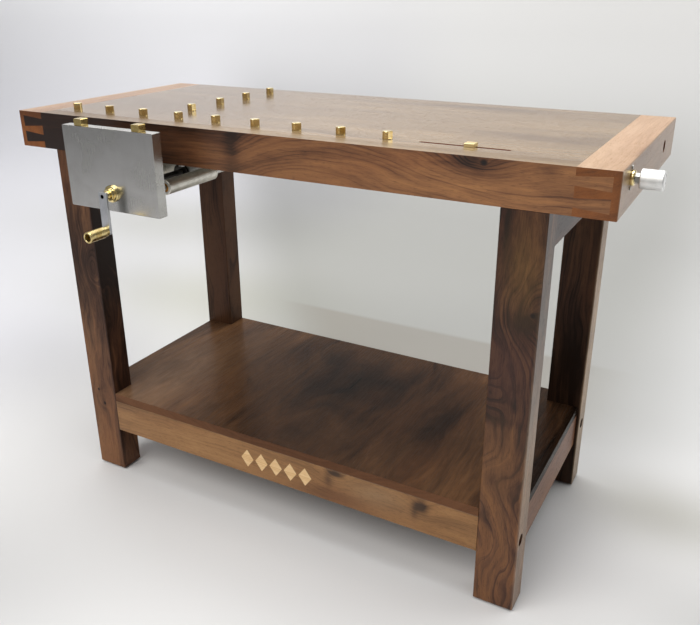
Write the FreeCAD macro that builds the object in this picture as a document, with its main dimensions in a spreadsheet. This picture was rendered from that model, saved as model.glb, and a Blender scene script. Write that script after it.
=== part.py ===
import FreeCAD, Part
import os
import re

import Sketcher

# A woodworking bench with a front vise, a tail vise and two rows of brass bench dogs.
# Frame: millimetres, +Z up, floor at z = 0, +X to the right along the bench, the front faces -Y.
# The origin is on the floor under the middle of the whole bench with its vises.

ROW_DOGS = 9
CROSS_DOGS = 4
LOZENGES = 5
KNOB_HOLES = 6
# How far each dog's flat is turned from facing the tail vise, in degrees, clockwise seen from above.
ROW_TURNS = (55, 37, 30, 19, 20, 32, 35, 30, 14)
CROSS_TURNS = (5, -5, 0, 3)

SIZES = [
    # the bench as a whole
    ("bench_length", 1340, "over the end caps"),
    ("bench_depth", 565, "front of the apron to the back edge of the top"),
    ("bench_height", 915, "floor to working surface"),
    ("arris", 1.2, "chamfer on the edges of the boards"),
    ("running_clearance", 0.05, "gap all round a shaft in its bearing"),
    ("slip_clearance", 0.1, "gap all round a dog in its hole"),
    ("hole_clearance", 0.3, "gap all round a bolt in its hole"),
    ("seat_clearance", 0.3, "gap between parts that slide past each other"),
    # the top
    ("top_thickness", 80, "slab, apron and end caps"),
    ("apron_thickness", 42, "front board"),
    ("end_cap_width", 71, "board across each end"),
    ("dovetail_lap", 13, "end cap wood outside the tails"),
    ("half_pin", 10, "above the upper tail and below the lower one, at the wide end"),
    ("pin_width", 11, "between the tails, at their wide end"),
    ("tail_slope", 4.7, "how much each side of a tail closes in towards its root"),
    ("tongue_length", 16, "slab tongue into the end cap's groove"),
    ("tongue_thickness", 26, "slab tongue"),
    ("tongue_stop", 30, "from each edge of the slab to the stopped tongue"),
    # legs and rails
    ("leg_width", 83, "along the bench"),
    ("leg_depth", 58, "across the bench"),
    ("leg_inset", 106, "end of the top to the leg's outer face"),
    ("back_leg_inset", 23, "back of the top to the back leg"),
    ("glide_height", 4, "foot under each leg"),
    ("glide_diameter", 34, "foot under each leg"),
    ("glide_pin_diameter", 6, "pin of the foot"),
    ("glide_pin_length", 22, "pin of the foot"),
    ("rail_height", 85, "all rails"),
    ("rail_thickness", 36, "all rails"),
    ("rail_floor_gap", 121, "floor to the lower rails"),
    ("side_rail_inset", 8, "side rail behind the legs' outer faces"),
    ("tenon_length", 22, "side rails into the legs"),
    ("tenon_thickness", 12, "side rails into the legs"),
    ("tenon_shoulder", 12, "above and below the tenon"),
    ("shelf_thickness", 20, "shelf board"),
    ("shelf_clearance", 0.5, "shelf notch round each leg"),
    ("inlay_thickness", 3, "maple let into the front rail"),
    ("lozenge_width", 34, "one lozenge"),
    ("lozenge_height", 46, "one lozenge"),
    ("lozenge_pitch", 39, "lozenge to lozenge"),
    # fasteners
    ("bolt_diameter", 10, "frame bolt"),
    ("bolt_head_diameter", 16, "frame bolt"),
    ("bolt_head_height", 10, "frame bolt"),
    ("bolt_length", 122, "frame bolt under its head"),
    ("bolt_socket", 8, "across the flats of the frame bolt's socket"),
    ("bolt_socket_depth", 5, "frame bolt's socket"),
    ("counterbore_diameter", 25, "recess for the frame bolt's head"),
    ("counterbore_depth", 16, "recess for the frame bolt's head"),
    ("rail_bolt_lift", 5.5, "rail bolt above the middle of the rail"),
    ("cap_bolt_setback", 130, "end cap bolt from the back of the top"),
    ("cap_bolt_drop", 38, "end cap bolt below the working surface"),
    ("barrel_diameter", 16, "cross nut of a frame bolt"),
    ("barrel_length", 30, "cross nut of a frame bolt"),
    ("barrel_from_tip", 12, "middle of the cross nut to the bolt's tip"),
    ("coach_diameter", 8, "coach screw"),
    ("coach_head_diameter", 14, "coach screw"),
    ("coach_head_height", 5.5, "coach screw"),
    ("coach_length", 75, "coach screw under its head"),
    ("coach_recess_diameter", 20, "recess in the top side rail"),
    ("coach_recess_depth", 40, "recess in the top side rail"),
    ("top_screw_spacing", 240, "between the two coach screws of a side"),
    # bench dogs
    ("dog_diameter", 19, "round bench dog"),
    ("dog_length", 74, "round bench dog"),
    ("dog_proud", 14.5, "dog above the working surface"),
    ("dog_flat_depth", 2.5, "flat planed on the dog's head"),
    ("dog_flat_height", 13, "flat planed on the dog's head"),
    ("dog_chamfer", 0.8, "ends of the dog"),
    ("first_dog_inset", 111, "left end of the top to the first dog of the front row"),
    ("last_dog_inset", 436, "right end of the top to the last dog of the front row"),
    ("cross_pitch", 105, "dog to dog in the cross row"),
    ("dog_row_setback", 74.5, "front of the bench to the row of dogs and the tail vise"),
    ("cross_row_gap", 104, "front row to the first dog of the cross row"),
    # front vise, fixed side
    ("vise_inset", 355, "left end of the top to the vise screw"),
    ("vise_drop", 133, "working surface to the vise screw"),
    ("tube_spacing", 126, "between the two guide tubes"),
    ("tube_diameter", 32, "guide tube"),
    ("tube_bore", 20, "guide tube"),
    ("tube_setback", 0.5, "front of the bench to the guide tubes"),
    ("tube_length", 162, "guide tube"),
    ("bush_recess", 2, "bush set back inside its tube"),
    ("bush_length", 25, "bronze bush at each end of a guide tube"),
    ("carrier_setback", 132.5, "front of the bench to the carrier"),
    ("carrier_thickness", 30, "carrier between the guide tubes"),
    ("carrier_foot", 13, "carrier below the vise screw"),
    ("mount_length", 160, "mounting plate along the bench"),
    ("mount_depth", 150, "mounting plate across the bench"),
    ("mount_thickness", 12, "mounting plate"),
    ("mount_edge", 14, "coach screws from the edges of the mounting plate"),
    ("nut_diameter", 30, "vise nut"),
    ("nut_flange_diameter", 40, "vise nut"),
    ("nut_flange_thickness", 6, "vise nut"),
    ("nut_length", 36, "vise nut with its flange"),
    # front vise, moving side
    ("jaw_opening", 62.5, "jaw plate to the front of the bench"),
    ("jaw_width", 244, "jaw plate"),
    ("jaw_height", 170, "jaw plate"),
    ("jaw_thickness", 25, "jaw plate"),
    ("jaw_drop", 1, "jaw plate below the working surface"),
    ("jaw_arris", 1, "chamfer round the jaw plate"),
    ("rod_diameter", 12, "guide rod"),
    ("rod_length", 380, "guide rod"),
    ("rod_socket", 15, "guide rod let into the jaw plate"),
    ("screw_diameter", 16, "vise screw"),
    ("journal_diameter", 12, "vise screw in the jaw plate"),
    ("screw_reach", 355, "vise screw behind the jaw plate"),
    ("thrust_diameter", 26, "collar behind the jaw plate"),
    ("thrust_thickness", 8, "collar behind the jaw plate"),
    ("flange_diameter", 36, "brass bearing on the jaw plate"),
    ("flange_thickness", 6, "brass bearing on the jaw plate"),
    ("boss_diameter", 26, "step of the brass bearing"),
    ("boss_thickness", 7, "step of the brass bearing"),
    ("sleeve_diameter", 17, "brass sleeve between bearing and crank"),
    ("sleeve_length", 10, "brass sleeve between bearing and crank"),
    ("arm_width", 22, "crank arm"),
    ("arm_thickness", 6, "crank arm"),
    ("arm_top", 9, "crank arm above the screw"),
    ("arm_tail", 6.5, "crank arm below the grip"),
    ("crank_throw", 73, "vise screw to grip"),
    ("crank_screw_diameter", 9, "socket screw that holds the arm"),
    ("crank_screw_length", 16, "socket screw that holds the arm"),
    ("crank_screw_socket", 6, "across the flats of its socket"),
    ("crank_screw_sink", 1, "socket screw below the face of the arm"),
    ("grip_diameter", 24, "turned grip"),
    ("grip_length", 51.5, "turned grip"),
    ("grip_neck_diameter", 21, "step of the grip beside the arm"),
    ("grip_neck_length", 8, "step of the grip beside the arm"),
    ("grip_bore", 16, "hollow end of the grip"),
    ("grip_bore_depth", 28, "hollow end of the grip"),
    ("pin_diameter", 8, "pin that the grip turns on"),
    ("pin_head_diameter", 14, "pin that the grip turns on"),
    ("pin_head_height", 4, "pin that the grip turns on"),
    ("vise_dog_spacing", 156, "between the two square dogs on the jaw"),
    ("vise_dog_width", 20.5, "square head"),
    ("vise_dog_proud", 14, "square head"),
    ("vise_dog_shank", 12, "round shank"),
    ("vise_dog_depth", 40, "round shank"),
    # tail vise
    ("tail_drop", 25, "working surface to the tail vise screw"),
    ("tail_tube_diameter", 26, "guide tube of the tail vise"),
    ("tail_tube_bore", 20, "guide tube of the tail vise"),
    ("tail_slot_end", 200, "right end of the top to the slot"),
    ("tail_slot_length", 172, "slot in the working surface"),
    ("tail_slot_width", 8, "slot in the working surface"),
    ("tail_bore_margin", 30, "tube beyond the slot"),
    ("far_bearing_length", 12, "bearing at the tube's far end"),
    ("tail_dog_inset", 273.5, "right end of the top to the tail vise dog"),
    ("tail_dog_length", 20, "brass dog of the tail vise"),
    ("tail_dog_width", 18, "brass dog of the tail vise"),
    ("tail_dog_proud", 7, "brass dog of the tail vise"),
    ("tail_nut_length", 50, "travelling nut"),
    ("tail_neck_length", 14, "neck of the travelling nut"),
    ("tail_screw_diameter", 12, "tail vise screw"),
    ("tail_journal_diameter", 9, "far end of the tail vise screw"),
    ("tail_collar_diameter", 17, "thrust collar on the tail vise screw"),
    ("tail_collar_thickness", 5, "thrust collar on the tail vise screw"),
    ("tail_spigot_length", 20, "brass bearing inside the tube"),
    ("tail_flange_diameter", 26, "brass bearing outside the end cap"),
    ("tail_flange_thickness", 7, "brass bearing outside the end cap"),
    ("tail_lock_spacing", 35, "between the two screws that lock the tube"),
    ("tail_lock_diameter", 4, "screw that locks the tube"),
    ("tail_lock_head", 6.5, "screw that locks the tube"),
    ("tail_lock_length", 25, "screw that locks the tube"),
    ("lock_nut_width", 15, "across the flats of the nut behind the knob"),
    ("knob_gap", 15, "right end of the top to the knob"),
    ("knob_diameter", 33, "tail vise knob"),
    ("knob_length", 37, "tail vise knob"),
    ("knob_bore_depth", 25, "screw let into the knob"),
    ("knob_hole_diameter", 5.5, "tommy holes in the knob's end"),
    ("knob_hole_circle", 24, "tommy holes in the knob's end"),
    ("knob_hole_depth", 8, "tommy holes in the knob's end"),
]

LAYOUT = [
    ("handle_reach", "jaw_opening + jaw_thickness + flange_thickness + boss_thickness + sleeve_length"
     " + arm_thickness + grip_length + 2 * seat_clearance"),
    ("middle_x", "-(knob_gap + knob_length) / 2"),
    ("middle_y", "handle_reach / 2"),
    ("left", "middle_x - bench_length / 2"),
    ("right", "middle_x + bench_length / 2"),
    ("front", "middle_y - bench_depth / 2"),
    ("back", "middle_y + bench_depth / 2"),
    ("underside", "bench_height - top_thickness"),
    ("slab_length", "bench_length - 2 * end_cap_width"),
    ("slab_depth", "bench_depth - apron_thickness"),
    ("tail_end", "end_cap_width - dovetail_lap"),
    ("tail_height", "(top_thickness - 2 * half_pin - pin_width) / 2"),
    ("tongue_low", "(top_thickness - tongue_thickness) / 2"),
    ("leg_height", "underside - glide_height"),
    ("leg_left", "left + leg_inset"),
    ("leg_right", "right - leg_inset - leg_width"),
    ("leg_back", "back - back_leg_inset - leg_depth"),
    ("frame_gap", "leg_back - front - leg_depth"),
    ("long_rail_length", "bench_length - 2 * leg_inset - 2 * leg_width"),
    ("rail_top", "rail_floor_gap + rail_height"),
    ("rail_bolt_height", "rail_floor_gap + rail_height / 2 + rail_bolt_lift"),
    ("back_rail_y", "leg_back + (leg_depth - rail_thickness) / 2"),
    ("shelf_depth", "leg_back + leg_depth - front"),
    ("shelf_length", "bench_length - 2 * leg_inset - 2 * side_rail_inset"),
    ("notch_width", "leg_width - side_rail_inset + shelf_clearance"),
    ("notch_depth", "leg_depth + shelf_clearance"),
    ("dog_row", "front + dog_row_setback"),
    ("first_dog", "left + first_dog_inset"),
    ("dog_pitch", f"(bench_length - first_dog_inset - last_dog_inset) / {ROW_DOGS - 1}"),
    ("cross_x", "first_dog + 2.5 * dog_pitch"),
    ("cross_y", "dog_row + cross_row_gap"),
    ("vise_x", "left + vise_inset"),
    ("vise_z", "bench_height - vise_drop"),
    ("mount_low", "underside - mount_thickness"),
    ("mount_front", "front + apron_thickness + arris"),
    ("jaw_back", "front - jaw_opening"),
    ("jaw_front", "jaw_back - jaw_thickness"),
    ("arm_back", "jaw_front - flange_thickness - boss_thickness - seat_clearance - sleeve_length"),
    ("arm_front", "arm_back - arm_thickness"),
    ("tail_z", "bench_height - tail_drop"),
    ("tail_tube_length", "tail_slot_end + tail_slot_length + tail_bore_margin"),
    ("tail_tube_left", "right - tail_tube_length"),
    ("tail_dog_x", "right - tail_dog_inset"),
]

# Each word of the two sheets, with the sheet that holds it.
HOME = {row[0]: "sizes" for row in SIZES}
HOME.update({row[0]: "layout" for row in LAYOUT})

# Each axis with the origin plane square to it and the side of that plane which its normal faces.
PLANES = {"X": ("YZ_Plane", 1), "Y": ("XZ_Plane", -1), "Z": ("XY_Plane", 1)}

UPRIGHT = FreeCAD.Rotation()
FORWARD = FreeCAD.Rotation(FreeCAD.Vector(1, 0, 0), 90)
SIDEWAYS = FreeCAD.Rotation(FreeCAD.Vector(0, 1, 0), 90)
LEFTWARD = FreeCAD.Rotation(FreeCAD.Vector(0, 1, 0), -90)

doc = FreeCAD.newDocument("bench")
nodes = []


def formula(text):
    """A formula in the sheets' words, with each word led by its sheet's name."""
    return re.sub(r"[a-z_]+", lambda found: f"{HOME[found[0]]}.{found[0]}" if found[0] in HOME else found[0],
                  str(text))


def value(text):
    """What a formula comes to."""
    return float(doc.sizes.evalExpression(formula(text)))


def bind(thing, path, text):
    """Ties one property of an object to a formula."""
    thing.setExpression(path, formula(text))


def make_sheets():
    """Fills the sheet of driving sizes and the sheet of places worked out from them."""
    for name, rows in (("sizes", SIZES), ("layout", LAYOUT)):
        sheet = doc.addObject("Spreadsheet::Sheet", name)
        for line, row in enumerate(rows, 1):
            alias, content = row[0], row[1]
            sheet.set(f"A{line}", alias)
            sheet.set(f"B{line}", str(content) if name == "sizes" else "=" + formula(content))
            sheet.setAlias(f"B{line}", alias)
            sheet.set(f"C{line}", row[2] if len(row) > 2 else "")
        doc.recompute()


def locate(thing, x, y, z, turn=UPRIGHT):
    """Turns an object and ties its place to three formulas."""
    thing.Placement = FreeCAD.Placement(FreeCAD.Vector(), turn)
    for path, text in (("x", x), ("y", y), ("z", z)):
        bind(thing, f"Placement.Base.{path}", text)


def new_body(node, x, y, z, turn=UPRIGHT):
    """A body for one sub-part, standing at its own corner or axis."""
    owner = doc.addObject("PartDesign::Body", node)
    owner.Label = node
    locate(owner, x, y, z, turn)
    nodes.append(owner)
    return owner


def sketch(owner, axis, lift="0"):
    """A sketch on the body's plane square to an axis, lifted along that axis."""
    role, side = PLANES[axis]
    flat = owner.newObject("Sketcher::SketchObject", f"{owner.Name}_sketch")
    plane = next(item for item in owner.Origin.OriginFeatures if item.Role == role)
    flat.AttachmentSupport = [(plane, "")]
    flat.MapMode = "FlatFace"
    bind(flat, "AttachmentOffset.Base.z", f"{side} * ({lift})")
    return flat


def pin_point(flat, piece, point, across, up):
    """Ties a point of a sketch's piece to its two coordinates."""
    for kind, text in (("DistanceX", across), ("DistanceY", up)):
        number = flat.addConstraint(Sketcher.Constraint(kind, -1, 1, piece, point, value(text)))
        bind(flat, f"Constraints[{number}]", text)


def outline(flat, corners):
    """A closed run of straight lines through corners, each a pair of formulas."""
    points = [FreeCAD.Vector(value(across), value(up)) for across, up in corners]
    first = flat.GeometryCount
    following = points[1:] + points[:1]
    flat.addGeometry([Part.LineSegment(*ends) for ends in zip(points, following)])
    for number, (across, up) in enumerate(corners):
        after = first + (number + 1) % len(corners)
        flat.addConstraint(Sketcher.Constraint("Coincident", first + number, 2, after, 1))
        pin_point(flat, first + number, 1, across, up)
    return flat


def rectangle(flat, low_across, low_up, high_across, high_up):
    """A rectangle between two opposite corners."""
    return outline(flat, [(low_across, low_up), (high_across, low_up), (high_across, high_up), (low_across, high_up)])


def circle(flat, across, up, diameter):
    """A circle with its centre tied to two coordinates."""
    centre = FreeCAD.Vector(value(across), value(up))
    number = flat.addGeometry(Part.Circle(centre, FreeCAD.Vector(0, 0, 1), value(diameter) / 2))
    pin_point(flat, number, 3, across, up)
    size = flat.addConstraint(Sketcher.Constraint("Diameter", number, value(diameter)))
    bind(flat, f"Constraints[{size}]", diameter)
    return flat


def pad(flat, way, length):
    """Grows a sketch by a length, the way that a sign and an axis such as +Y say."""
    owner = flat.getParentGeoFeatureGroup()
    grown = owner.newObject("PartDesign::Pad", f"{owner.Name}_pad")
    grown.Profile = flat
    grown.Reversed = (way[0] == "+") != (PLANES[way[1]][1] > 0)
    bind(grown, "Length", length)
    doc.recompute()
    return grown


def pocket(flat, way, depth):
    """Cuts a sketch into the body, the way that a sign and an axis such as -X say."""
    owner = flat.getParentGeoFeatureGroup()
    before = owner.Shape.Volume
    cut = owner.newObject("PartDesign::Pocket", f"{owner.Name}_pocket")
    cut.Profile = flat
    cut.Reversed = (way[0] == "+") == (PLANES[way[1]][1] > 0)
    bind(cut, "Length", depth)
    doc.recompute()
    if owner.Shape.Volume >= before:
        raise ValueError(f"{cut.Name} cuts nothing")
    return cut


def ease(owner, size, chosen=None):
    """Chamfers the body's edges, or those whose middle passes a test."""
    shape = owner.Tip.Shape
    names = [f"Edge{number}" for number, edge in enumerate(shape.Edges, 1)
             if chosen is None or chosen(edge.CenterOfMass)]
    worked = owner.newObject("PartDesign::Chamfer", f"{owner.Name}_chamfer")
    worked.Base = (owner.Tip if owner.Tip != worked else worked.BaseFeature, names)
    bind(worked, "Size", size)
    doc.recompute()
    return worked


def repeat(feature, flat, way, spacing, count):
    """Repeats a feature along a sketch's axis, so many times."""
    owner = feature.getParentGeoFeatureGroup()
    pattern = owner.newObject("PartDesign::LinearPattern", f"{owner.Name}_row")
    pattern.Originals = [feature]
    pattern.Direction = (flat, [way])
    pattern.Occurrences = count
    bind(pattern, "Length", f"({spacing}) * {count - 1}")
    owner.Tip = pattern
    doc.recompute()
    return pattern


def board(node, x, y, z, length, depth, height, eased=True):
    """A squared board with its low corner at a place."""
    owner = new_body(node, x, y, z)
    pad(rectangle(sketch(owner, "Z"), "0", "0", length, depth), "+Z", height)
    if eased:
        ease(owner, "arris")
    return owner


def turned(node, profile, x, y, z, turn=UPRIGHT):
    """A turned piece: a closed profile of radius and height pairs, spun round the body's Z axis."""
    owner = new_body(node, x, y, z, turn)
    flat = outline(sketch(owner, "Y"), profile)
    spun = owner.newObject("PartDesign::Revolution", f"{node}_revolution")
    spun.Profile = flat
    spun.ReferenceAxis = (flat, ["V_Axis"])
    doc.recompute()
    return owner


def primitive(kind, name, sizes):
    """A Part primitive with its sizes tied to formulas."""
    solid = doc.addObject(f"Part::{kind}", name)
    for path, text in sizes.items():
        bind(solid, path, text)
    return solid


def group(node, members):
    """One node that holds several like pieces, each a separate solid."""
    doc.recompute()
    whole = doc.addObject("Part::Compound", node)
    whole.Label = node
    whole.Links = members
    nodes.append(whole)
    return whole


def turned_solid(name, steps, x, y, z, turn, socket=None):
    """A stepped round solid for a group: cylinders of (diameter, start, end) and a six-sided socket at its head."""
    parts = []
    for number, (diameter, start, end) in enumerate(steps):
        step = primitive("Cylinder", f"{name}_step_{number}",
                         {"Radius": f"({diameter}) / 2", "Height": f"({end}) - ({start})", "Placement.Base.z": start})
        parts.append(step)
    whole = parts[0]
    for number, step in enumerate(parts[1:]):
        joined = doc.addObject("Part::Fuse", f"{name}_fuse_{number}")
        joined.Base, joined.Tool = whole, step
        whole = joined
    if socket:
        across, start, end = socket
        hexagon = primitive("Prism", f"{name}_socket",
                            {"Circumradius": f"({across}) / sqrt(3)", "Height": f"({end}) - ({start})",
                             "Placement.Base.z": start})
        hexagon.Polygon = 6
        cut = doc.addObject("Part::Cut", f"{name}_cut")
        cut.Base, cut.Tool = whole, hexagon
        whole = cut
    locate(whole, x, y, z, turn)
    return whole


def make_slab():
    """The slab of the top, with its tongues, dog holes, tail vise bore and slot, and bores for the bolts."""
    slab = board("top_slab", "left + end_cap_width", "front + apron_thickness", "underside",
                 "slab_length", "slab_depth", "top_thickness", eased=False)
    tongue = rectangle(sketch(slab, "Z", "tongue_low"), "-tongue_length", "tongue_stop",
                       "slab_length + tongue_length", "slab_depth - tongue_stop")
    pad(tongue, "+Z", "tongue_thickness")
    hole = "dog_diameter + 2 * slip_clearance"
    row_y = "dog_row_setback - apron_thickness"
    for x, y, way, pitch, count in (("first_dog_inset - end_cap_width", row_y, "H_Axis", "dog_pitch", ROW_DOGS),
                                    ("first_dog_inset - end_cap_width + 2.5 * dog_pitch",
                                     f"{row_y} + cross_row_gap", "V_Axis", "cross_pitch", CROSS_DOGS)):
        flat = circle(sketch(slab, "Z"), x, y, hole)
        repeat(pocket(flat, "+Z", "top_thickness"), flat, way, pitch, count)
    far = "slab_length + tongue_length"
    bore = circle(sketch(slab, "X", far), row_y, "top_thickness - tail_drop", "tail_tube_diameter")
    pocket(bore, "-X", "tail_tube_length - end_cap_width + tongue_length")
    slot_right = "slab_length + end_cap_width - tail_slot_end - tail_slot_width / 2"
    slot_left = "slab_length + end_cap_width - tail_slot_end - tail_slot_length + tail_slot_width / 2"
    slot = rectangle(sketch(slab, "Z", "top_thickness"), slot_left, f"{row_y} - tail_slot_width / 2",
                     slot_right, f"{row_y} + tail_slot_width / 2")
    pocket(slot, "-Z", "tail_drop")
    for x in (slot_left, slot_right):
        pocket(circle(sketch(slab, "Z", "top_thickness"), x, row_y, "tail_slot_width"), "-Z", "tail_drop")
    bolt_y = "slab_depth - cap_bolt_setback"
    bolt_z = "top_thickness - cap_bolt_drop"
    reach = "bolt_length + counterbore_depth - end_cap_width"
    for face, way, nut_x in (("-tongue_length", "+X", f"{reach} - barrel_from_tip"),
                             (far, "-X", f"slab_length - ({reach}) + barrel_from_tip")):
        pocket(circle(sketch(slab, "X", face), bolt_y, bolt_z, "bolt_diameter + 2 * hole_clearance"), way,
               f"{reach} + tongue_length")
        pocket(circle(sketch(slab, "Z"), nut_x, bolt_y, "barrel_diameter + 2 * slip_clearance"), "+Z",
               f"{bolt_z} + barrel_length / 2")
    rail_x = "leg_inset - end_cap_width + side_rail_inset + rail_thickness / 2"
    for x in (rail_x, f"slab_length - ({rail_x})"):
        for side in ("-", "+"):
            spot = circle(sketch(slab, "Z"), x, f"leg_depth + frame_gap / 2 {side} top_screw_spacing / 2"
                          " - apron_thickness", "coach_diameter")
            pocket(spot, "+Z", "coach_length - rail_height + coach_recess_depth")
    for side in ("-", "+"):
        for y in ("arris + mount_edge", "arris + mount_depth - mount_edge"):
            spot = circle(sketch(slab, "Z"), f"vise_inset - end_cap_width {side} (mount_length / 2 - mount_edge)",
                          y, "coach_diameter")
            pocket(spot, "+Z", "coach_length - mount_thickness")


def tail_outline(flat, root, out, low):
    """One dovetail seen from the front: its narrow root, its wide end and the lower edge at that end."""
    return outline(flat, [(root, f"{low} + tail_slope"), (out, low), (out, f"{low} + tail_height"),
                          (root, f"{low} + tail_height - tail_slope")])


def make_apron():
    """The front board, with two tails at each end that lie in the end caps."""
    apron = board("front_apron", "left + end_cap_width", "front", "underside",
                  "slab_length", "apron_thickness", "top_thickness", eased=False)
    tails = sketch(apron, "Y")
    for root, out in (("0", "-tail_end"), ("slab_length", "slab_length + tail_end")):
        for low in ("half_pin", "half_pin + tail_height + pin_width"):
            tail_outline(tails, root, out, low)
    pad(tails, "+Y", "apron_thickness")


def make_end_cap(side):
    """The board across one end: sockets for the apron's tails, a groove for the slab's tongue, a bolt hole."""
    right = side == "right"
    cap = board(f"end_cap_{side}", "right - end_cap_width" if right else "left", "front", "underside",
                "end_cap_width", "bench_depth", "top_thickness", eased=False)
    outer = value("end_cap_width") if right else 0.0
    ease(cap, "arris", lambda middle: abs(middle.x - outer) < 0.01)
    sockets = sketch(cap, "Y")
    root, out = ("0", "tail_end") if right else ("end_cap_width", "dovetail_lap")
    for low in ("half_pin", "half_pin + tail_height + pin_width"):
        tail_outline(sockets, root, out, low)
    pocket(sockets, "+Y", "apron_thickness")
    inner_face, outer_face = ("0", "end_cap_width") if right else ("end_cap_width", "0")
    inward, outward = ("-X", "+X") if right else ("+X", "-X")
    groove = rectangle(sketch(cap, "X", inner_face), "apron_thickness + tongue_stop", "tongue_low",
                       "bench_depth - tongue_stop", "tongue_low + tongue_thickness")
    pocket(groove, outward, "tongue_length")
    bolt = ("bench_depth - cap_bolt_setback", "top_thickness - cap_bolt_drop")
    pocket(circle(sketch(cap, "X", outer_face), *bolt, "counterbore_diameter"), inward, "counterbore_depth")
    pocket(circle(sketch(cap, "X", outer_face), *bolt, "bolt_diameter + 2 * hole_clearance"), inward,
           "end_cap_width")
    if right:
        axis = ("dog_row_setback", "top_thickness - tail_drop")
        pocket(circle(sketch(cap, "X", outer_face), *axis, "tail_tube_diameter"), inward, "end_cap_width")
        for way in ("-", "+"):
            spot = circle(sketch(cap, "X", outer_face), axis[0], f"{axis[1]} {way} tail_lock_spacing / 2",
                          "tail_lock_diameter")
            pocket(spot, inward, "tail_lock_length")


def make_leg(place, side):
    """One leg, with mortises for its two side rails, the rail bolt's hole and the foot's pin hole."""
    front = place == "front"
    right = side == "right"
    leg = board(f"leg_{place}_{side}", f"leg_{side}", "front" if front else "leg_back", "glide_height",
                "leg_width", "leg_depth", "leg_height")
    inner_face, into = ("leg_depth", "-Y") if front else ("0", "+Y")
    rail_middle = "side_rail_inset + rail_thickness / 2"
    across = f"leg_width - ({rail_middle})" if right else rail_middle
    for low in ("rail_floor_gap - glide_height", "leg_height - rail_height"):
        mortise = rectangle(sketch(leg, "Y", inner_face), f"{across} - tenon_thickness / 2", f"{low} + tenon_shoulder",
                            f"{across} + tenon_thickness / 2", f"{low} + rail_height - tenon_shoulder")
        pocket(mortise, into, "tenon_length")
    bolt_y = "rail_thickness / 2" if front else "leg_depth / 2"
    bolt = (bolt_y, "rail_bolt_height - glide_height")
    outer_face, inward = ("leg_width", "-X") if right else ("0", "+X")
    pocket(circle(sketch(leg, "X", outer_face), *bolt, "counterbore_diameter"), inward, "counterbore_depth")
    pocket(circle(sketch(leg, "X", outer_face), *bolt, "bolt_diameter + 2 * hole_clearance"), inward, "leg_width")
    pocket(circle(sketch(leg, "Z"), "leg_width / 2", "leg_depth / 2", "glide_pin_diameter"), "+Z",
           "glide_pin_length")


def make_side_rail(name, side, height):
    """A rail between the front and back legs of one side, tenoned into both."""
    inset = "leg_inset + side_rail_inset"
    x = f"right - {inset.replace('+', '-')} - rail_thickness" if side == "right" else f"left + {inset}"
    rail = board(f"{name}_{side}", x, "front + leg_depth", height, "rail_thickness", "frame_gap", "rail_height",
                 eased=False)
    ease(rail, "arris", lambda middle: abs(middle.y - value("frame_gap") / 2) < 1.0)
    tenon = rectangle(sketch(rail, "X", "(rail_thickness - tenon_thickness) / 2"), "-tenon_length", "tenon_shoulder",
                      "frame_gap + tenon_length", "rail_height - tenon_shoulder")
    pad(tenon, "+X", "tenon_thickness")
    if name == "top_rail":
        for way in ("-", "+"):
            spot = ("rail_thickness / 2", f"frame_gap / 2 {way} top_screw_spacing / 2")
            pocket(circle(sketch(rail, "Z"), *spot, "coach_recess_diameter"), "+Z", "coach_recess_depth")
            pocket(circle(sketch(rail, "Z"), *spot, "coach_diameter + 2 * hole_clearance"), "+Z", "rail_height")


def make_long_rail(name, y, inner_face, into):
    """A rail along the bench between two legs, drilled for the bolts and cross nuts at its ends."""
    rail = board(name, "leg_left + leg_width", y, "rail_floor_gap", "long_rail_length", "rail_thickness",
                 "rail_height", eased=False)
    ease(rail, "arris", lambda middle: abs(middle.x - value("long_rail_length") / 2) < 1.0)
    reach = "bolt_length + counterbore_depth - leg_width"
    bolt = ("rail_thickness / 2", "rail_height / 2 + rail_bolt_lift")
    for face, way, nut_x in (("0", "+X", f"{reach} - barrel_from_tip"),
                             ("long_rail_length", "-X", f"long_rail_length - ({reach}) + barrel_from_tip")):
        pocket(circle(sketch(rail, "X", face), *bolt, "bolt_diameter + 2 * hole_clearance"), way, reach)
        pocket(circle(sketch(rail, "Y", inner_face), nut_x, bolt[1], "barrel_diameter + 2 * slip_clearance"), into,
               "(rail_thickness + barrel_length) / 2")
    return rail


def lozenge(flat, middle, up):
    """One lozenge about a middle point."""
    return outline(flat, [(f"{middle} - lozenge_width / 2", up), (middle, f"{up} - lozenge_height / 2"),
                          (f"{middle} + lozenge_width / 2", up), (middle, f"{up} + lozenge_height / 2")])


def make_front_rail():
    """The front rail and the row of maple lozenges let into its face."""
    rail = make_long_rail("front_rail", "front", "rail_thickness", "-Y")
    places = [f"long_rail_length / 2 + {number - (LOZENGES - 1) / 2} * lozenge_pitch" for number in range(LOZENGES)]
    recess = sketch(rail, "Y")
    for middle in places:
        lozenge(recess, middle, "rail_height / 2")
    pocket(recess, "+Y", "inlay_thickness")
    inlay = []
    for number, middle in enumerate(places):
        piece = doc.addObject("PartDesign::Body", f"lozenge_{number}")
        pad(lozenge(sketch(piece, "Y"), middle, "rail_height / 2"), "+Y", "inlay_thickness")
        locate(piece, "leg_left + leg_width", "front", "rail_floor_gap")
        inlay.append(piece)
    group("rail_inlay", inlay)


def make_shelf():
    """The shelf: a board on the four lower rails, notched round the legs."""
    shelf = new_body("shelf", "leg_left + side_rail_inset", "front", "rail_top")
    near, far = "notch_width", "shelf_length - notch_width"
    low, high = "notch_depth", "shelf_depth - notch_depth"
    corners = [(near, "0"), (far, "0"), (far, low), ("shelf_length", low), ("shelf_length", high), (far, high),
               (far, "shelf_depth"), (near, "shelf_depth"), (near, high), ("0", high), ("0", low), (near, low)]
    pad(outline(sketch(shelf, "Z"), corners), "+Z", "shelf_thickness")


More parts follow.
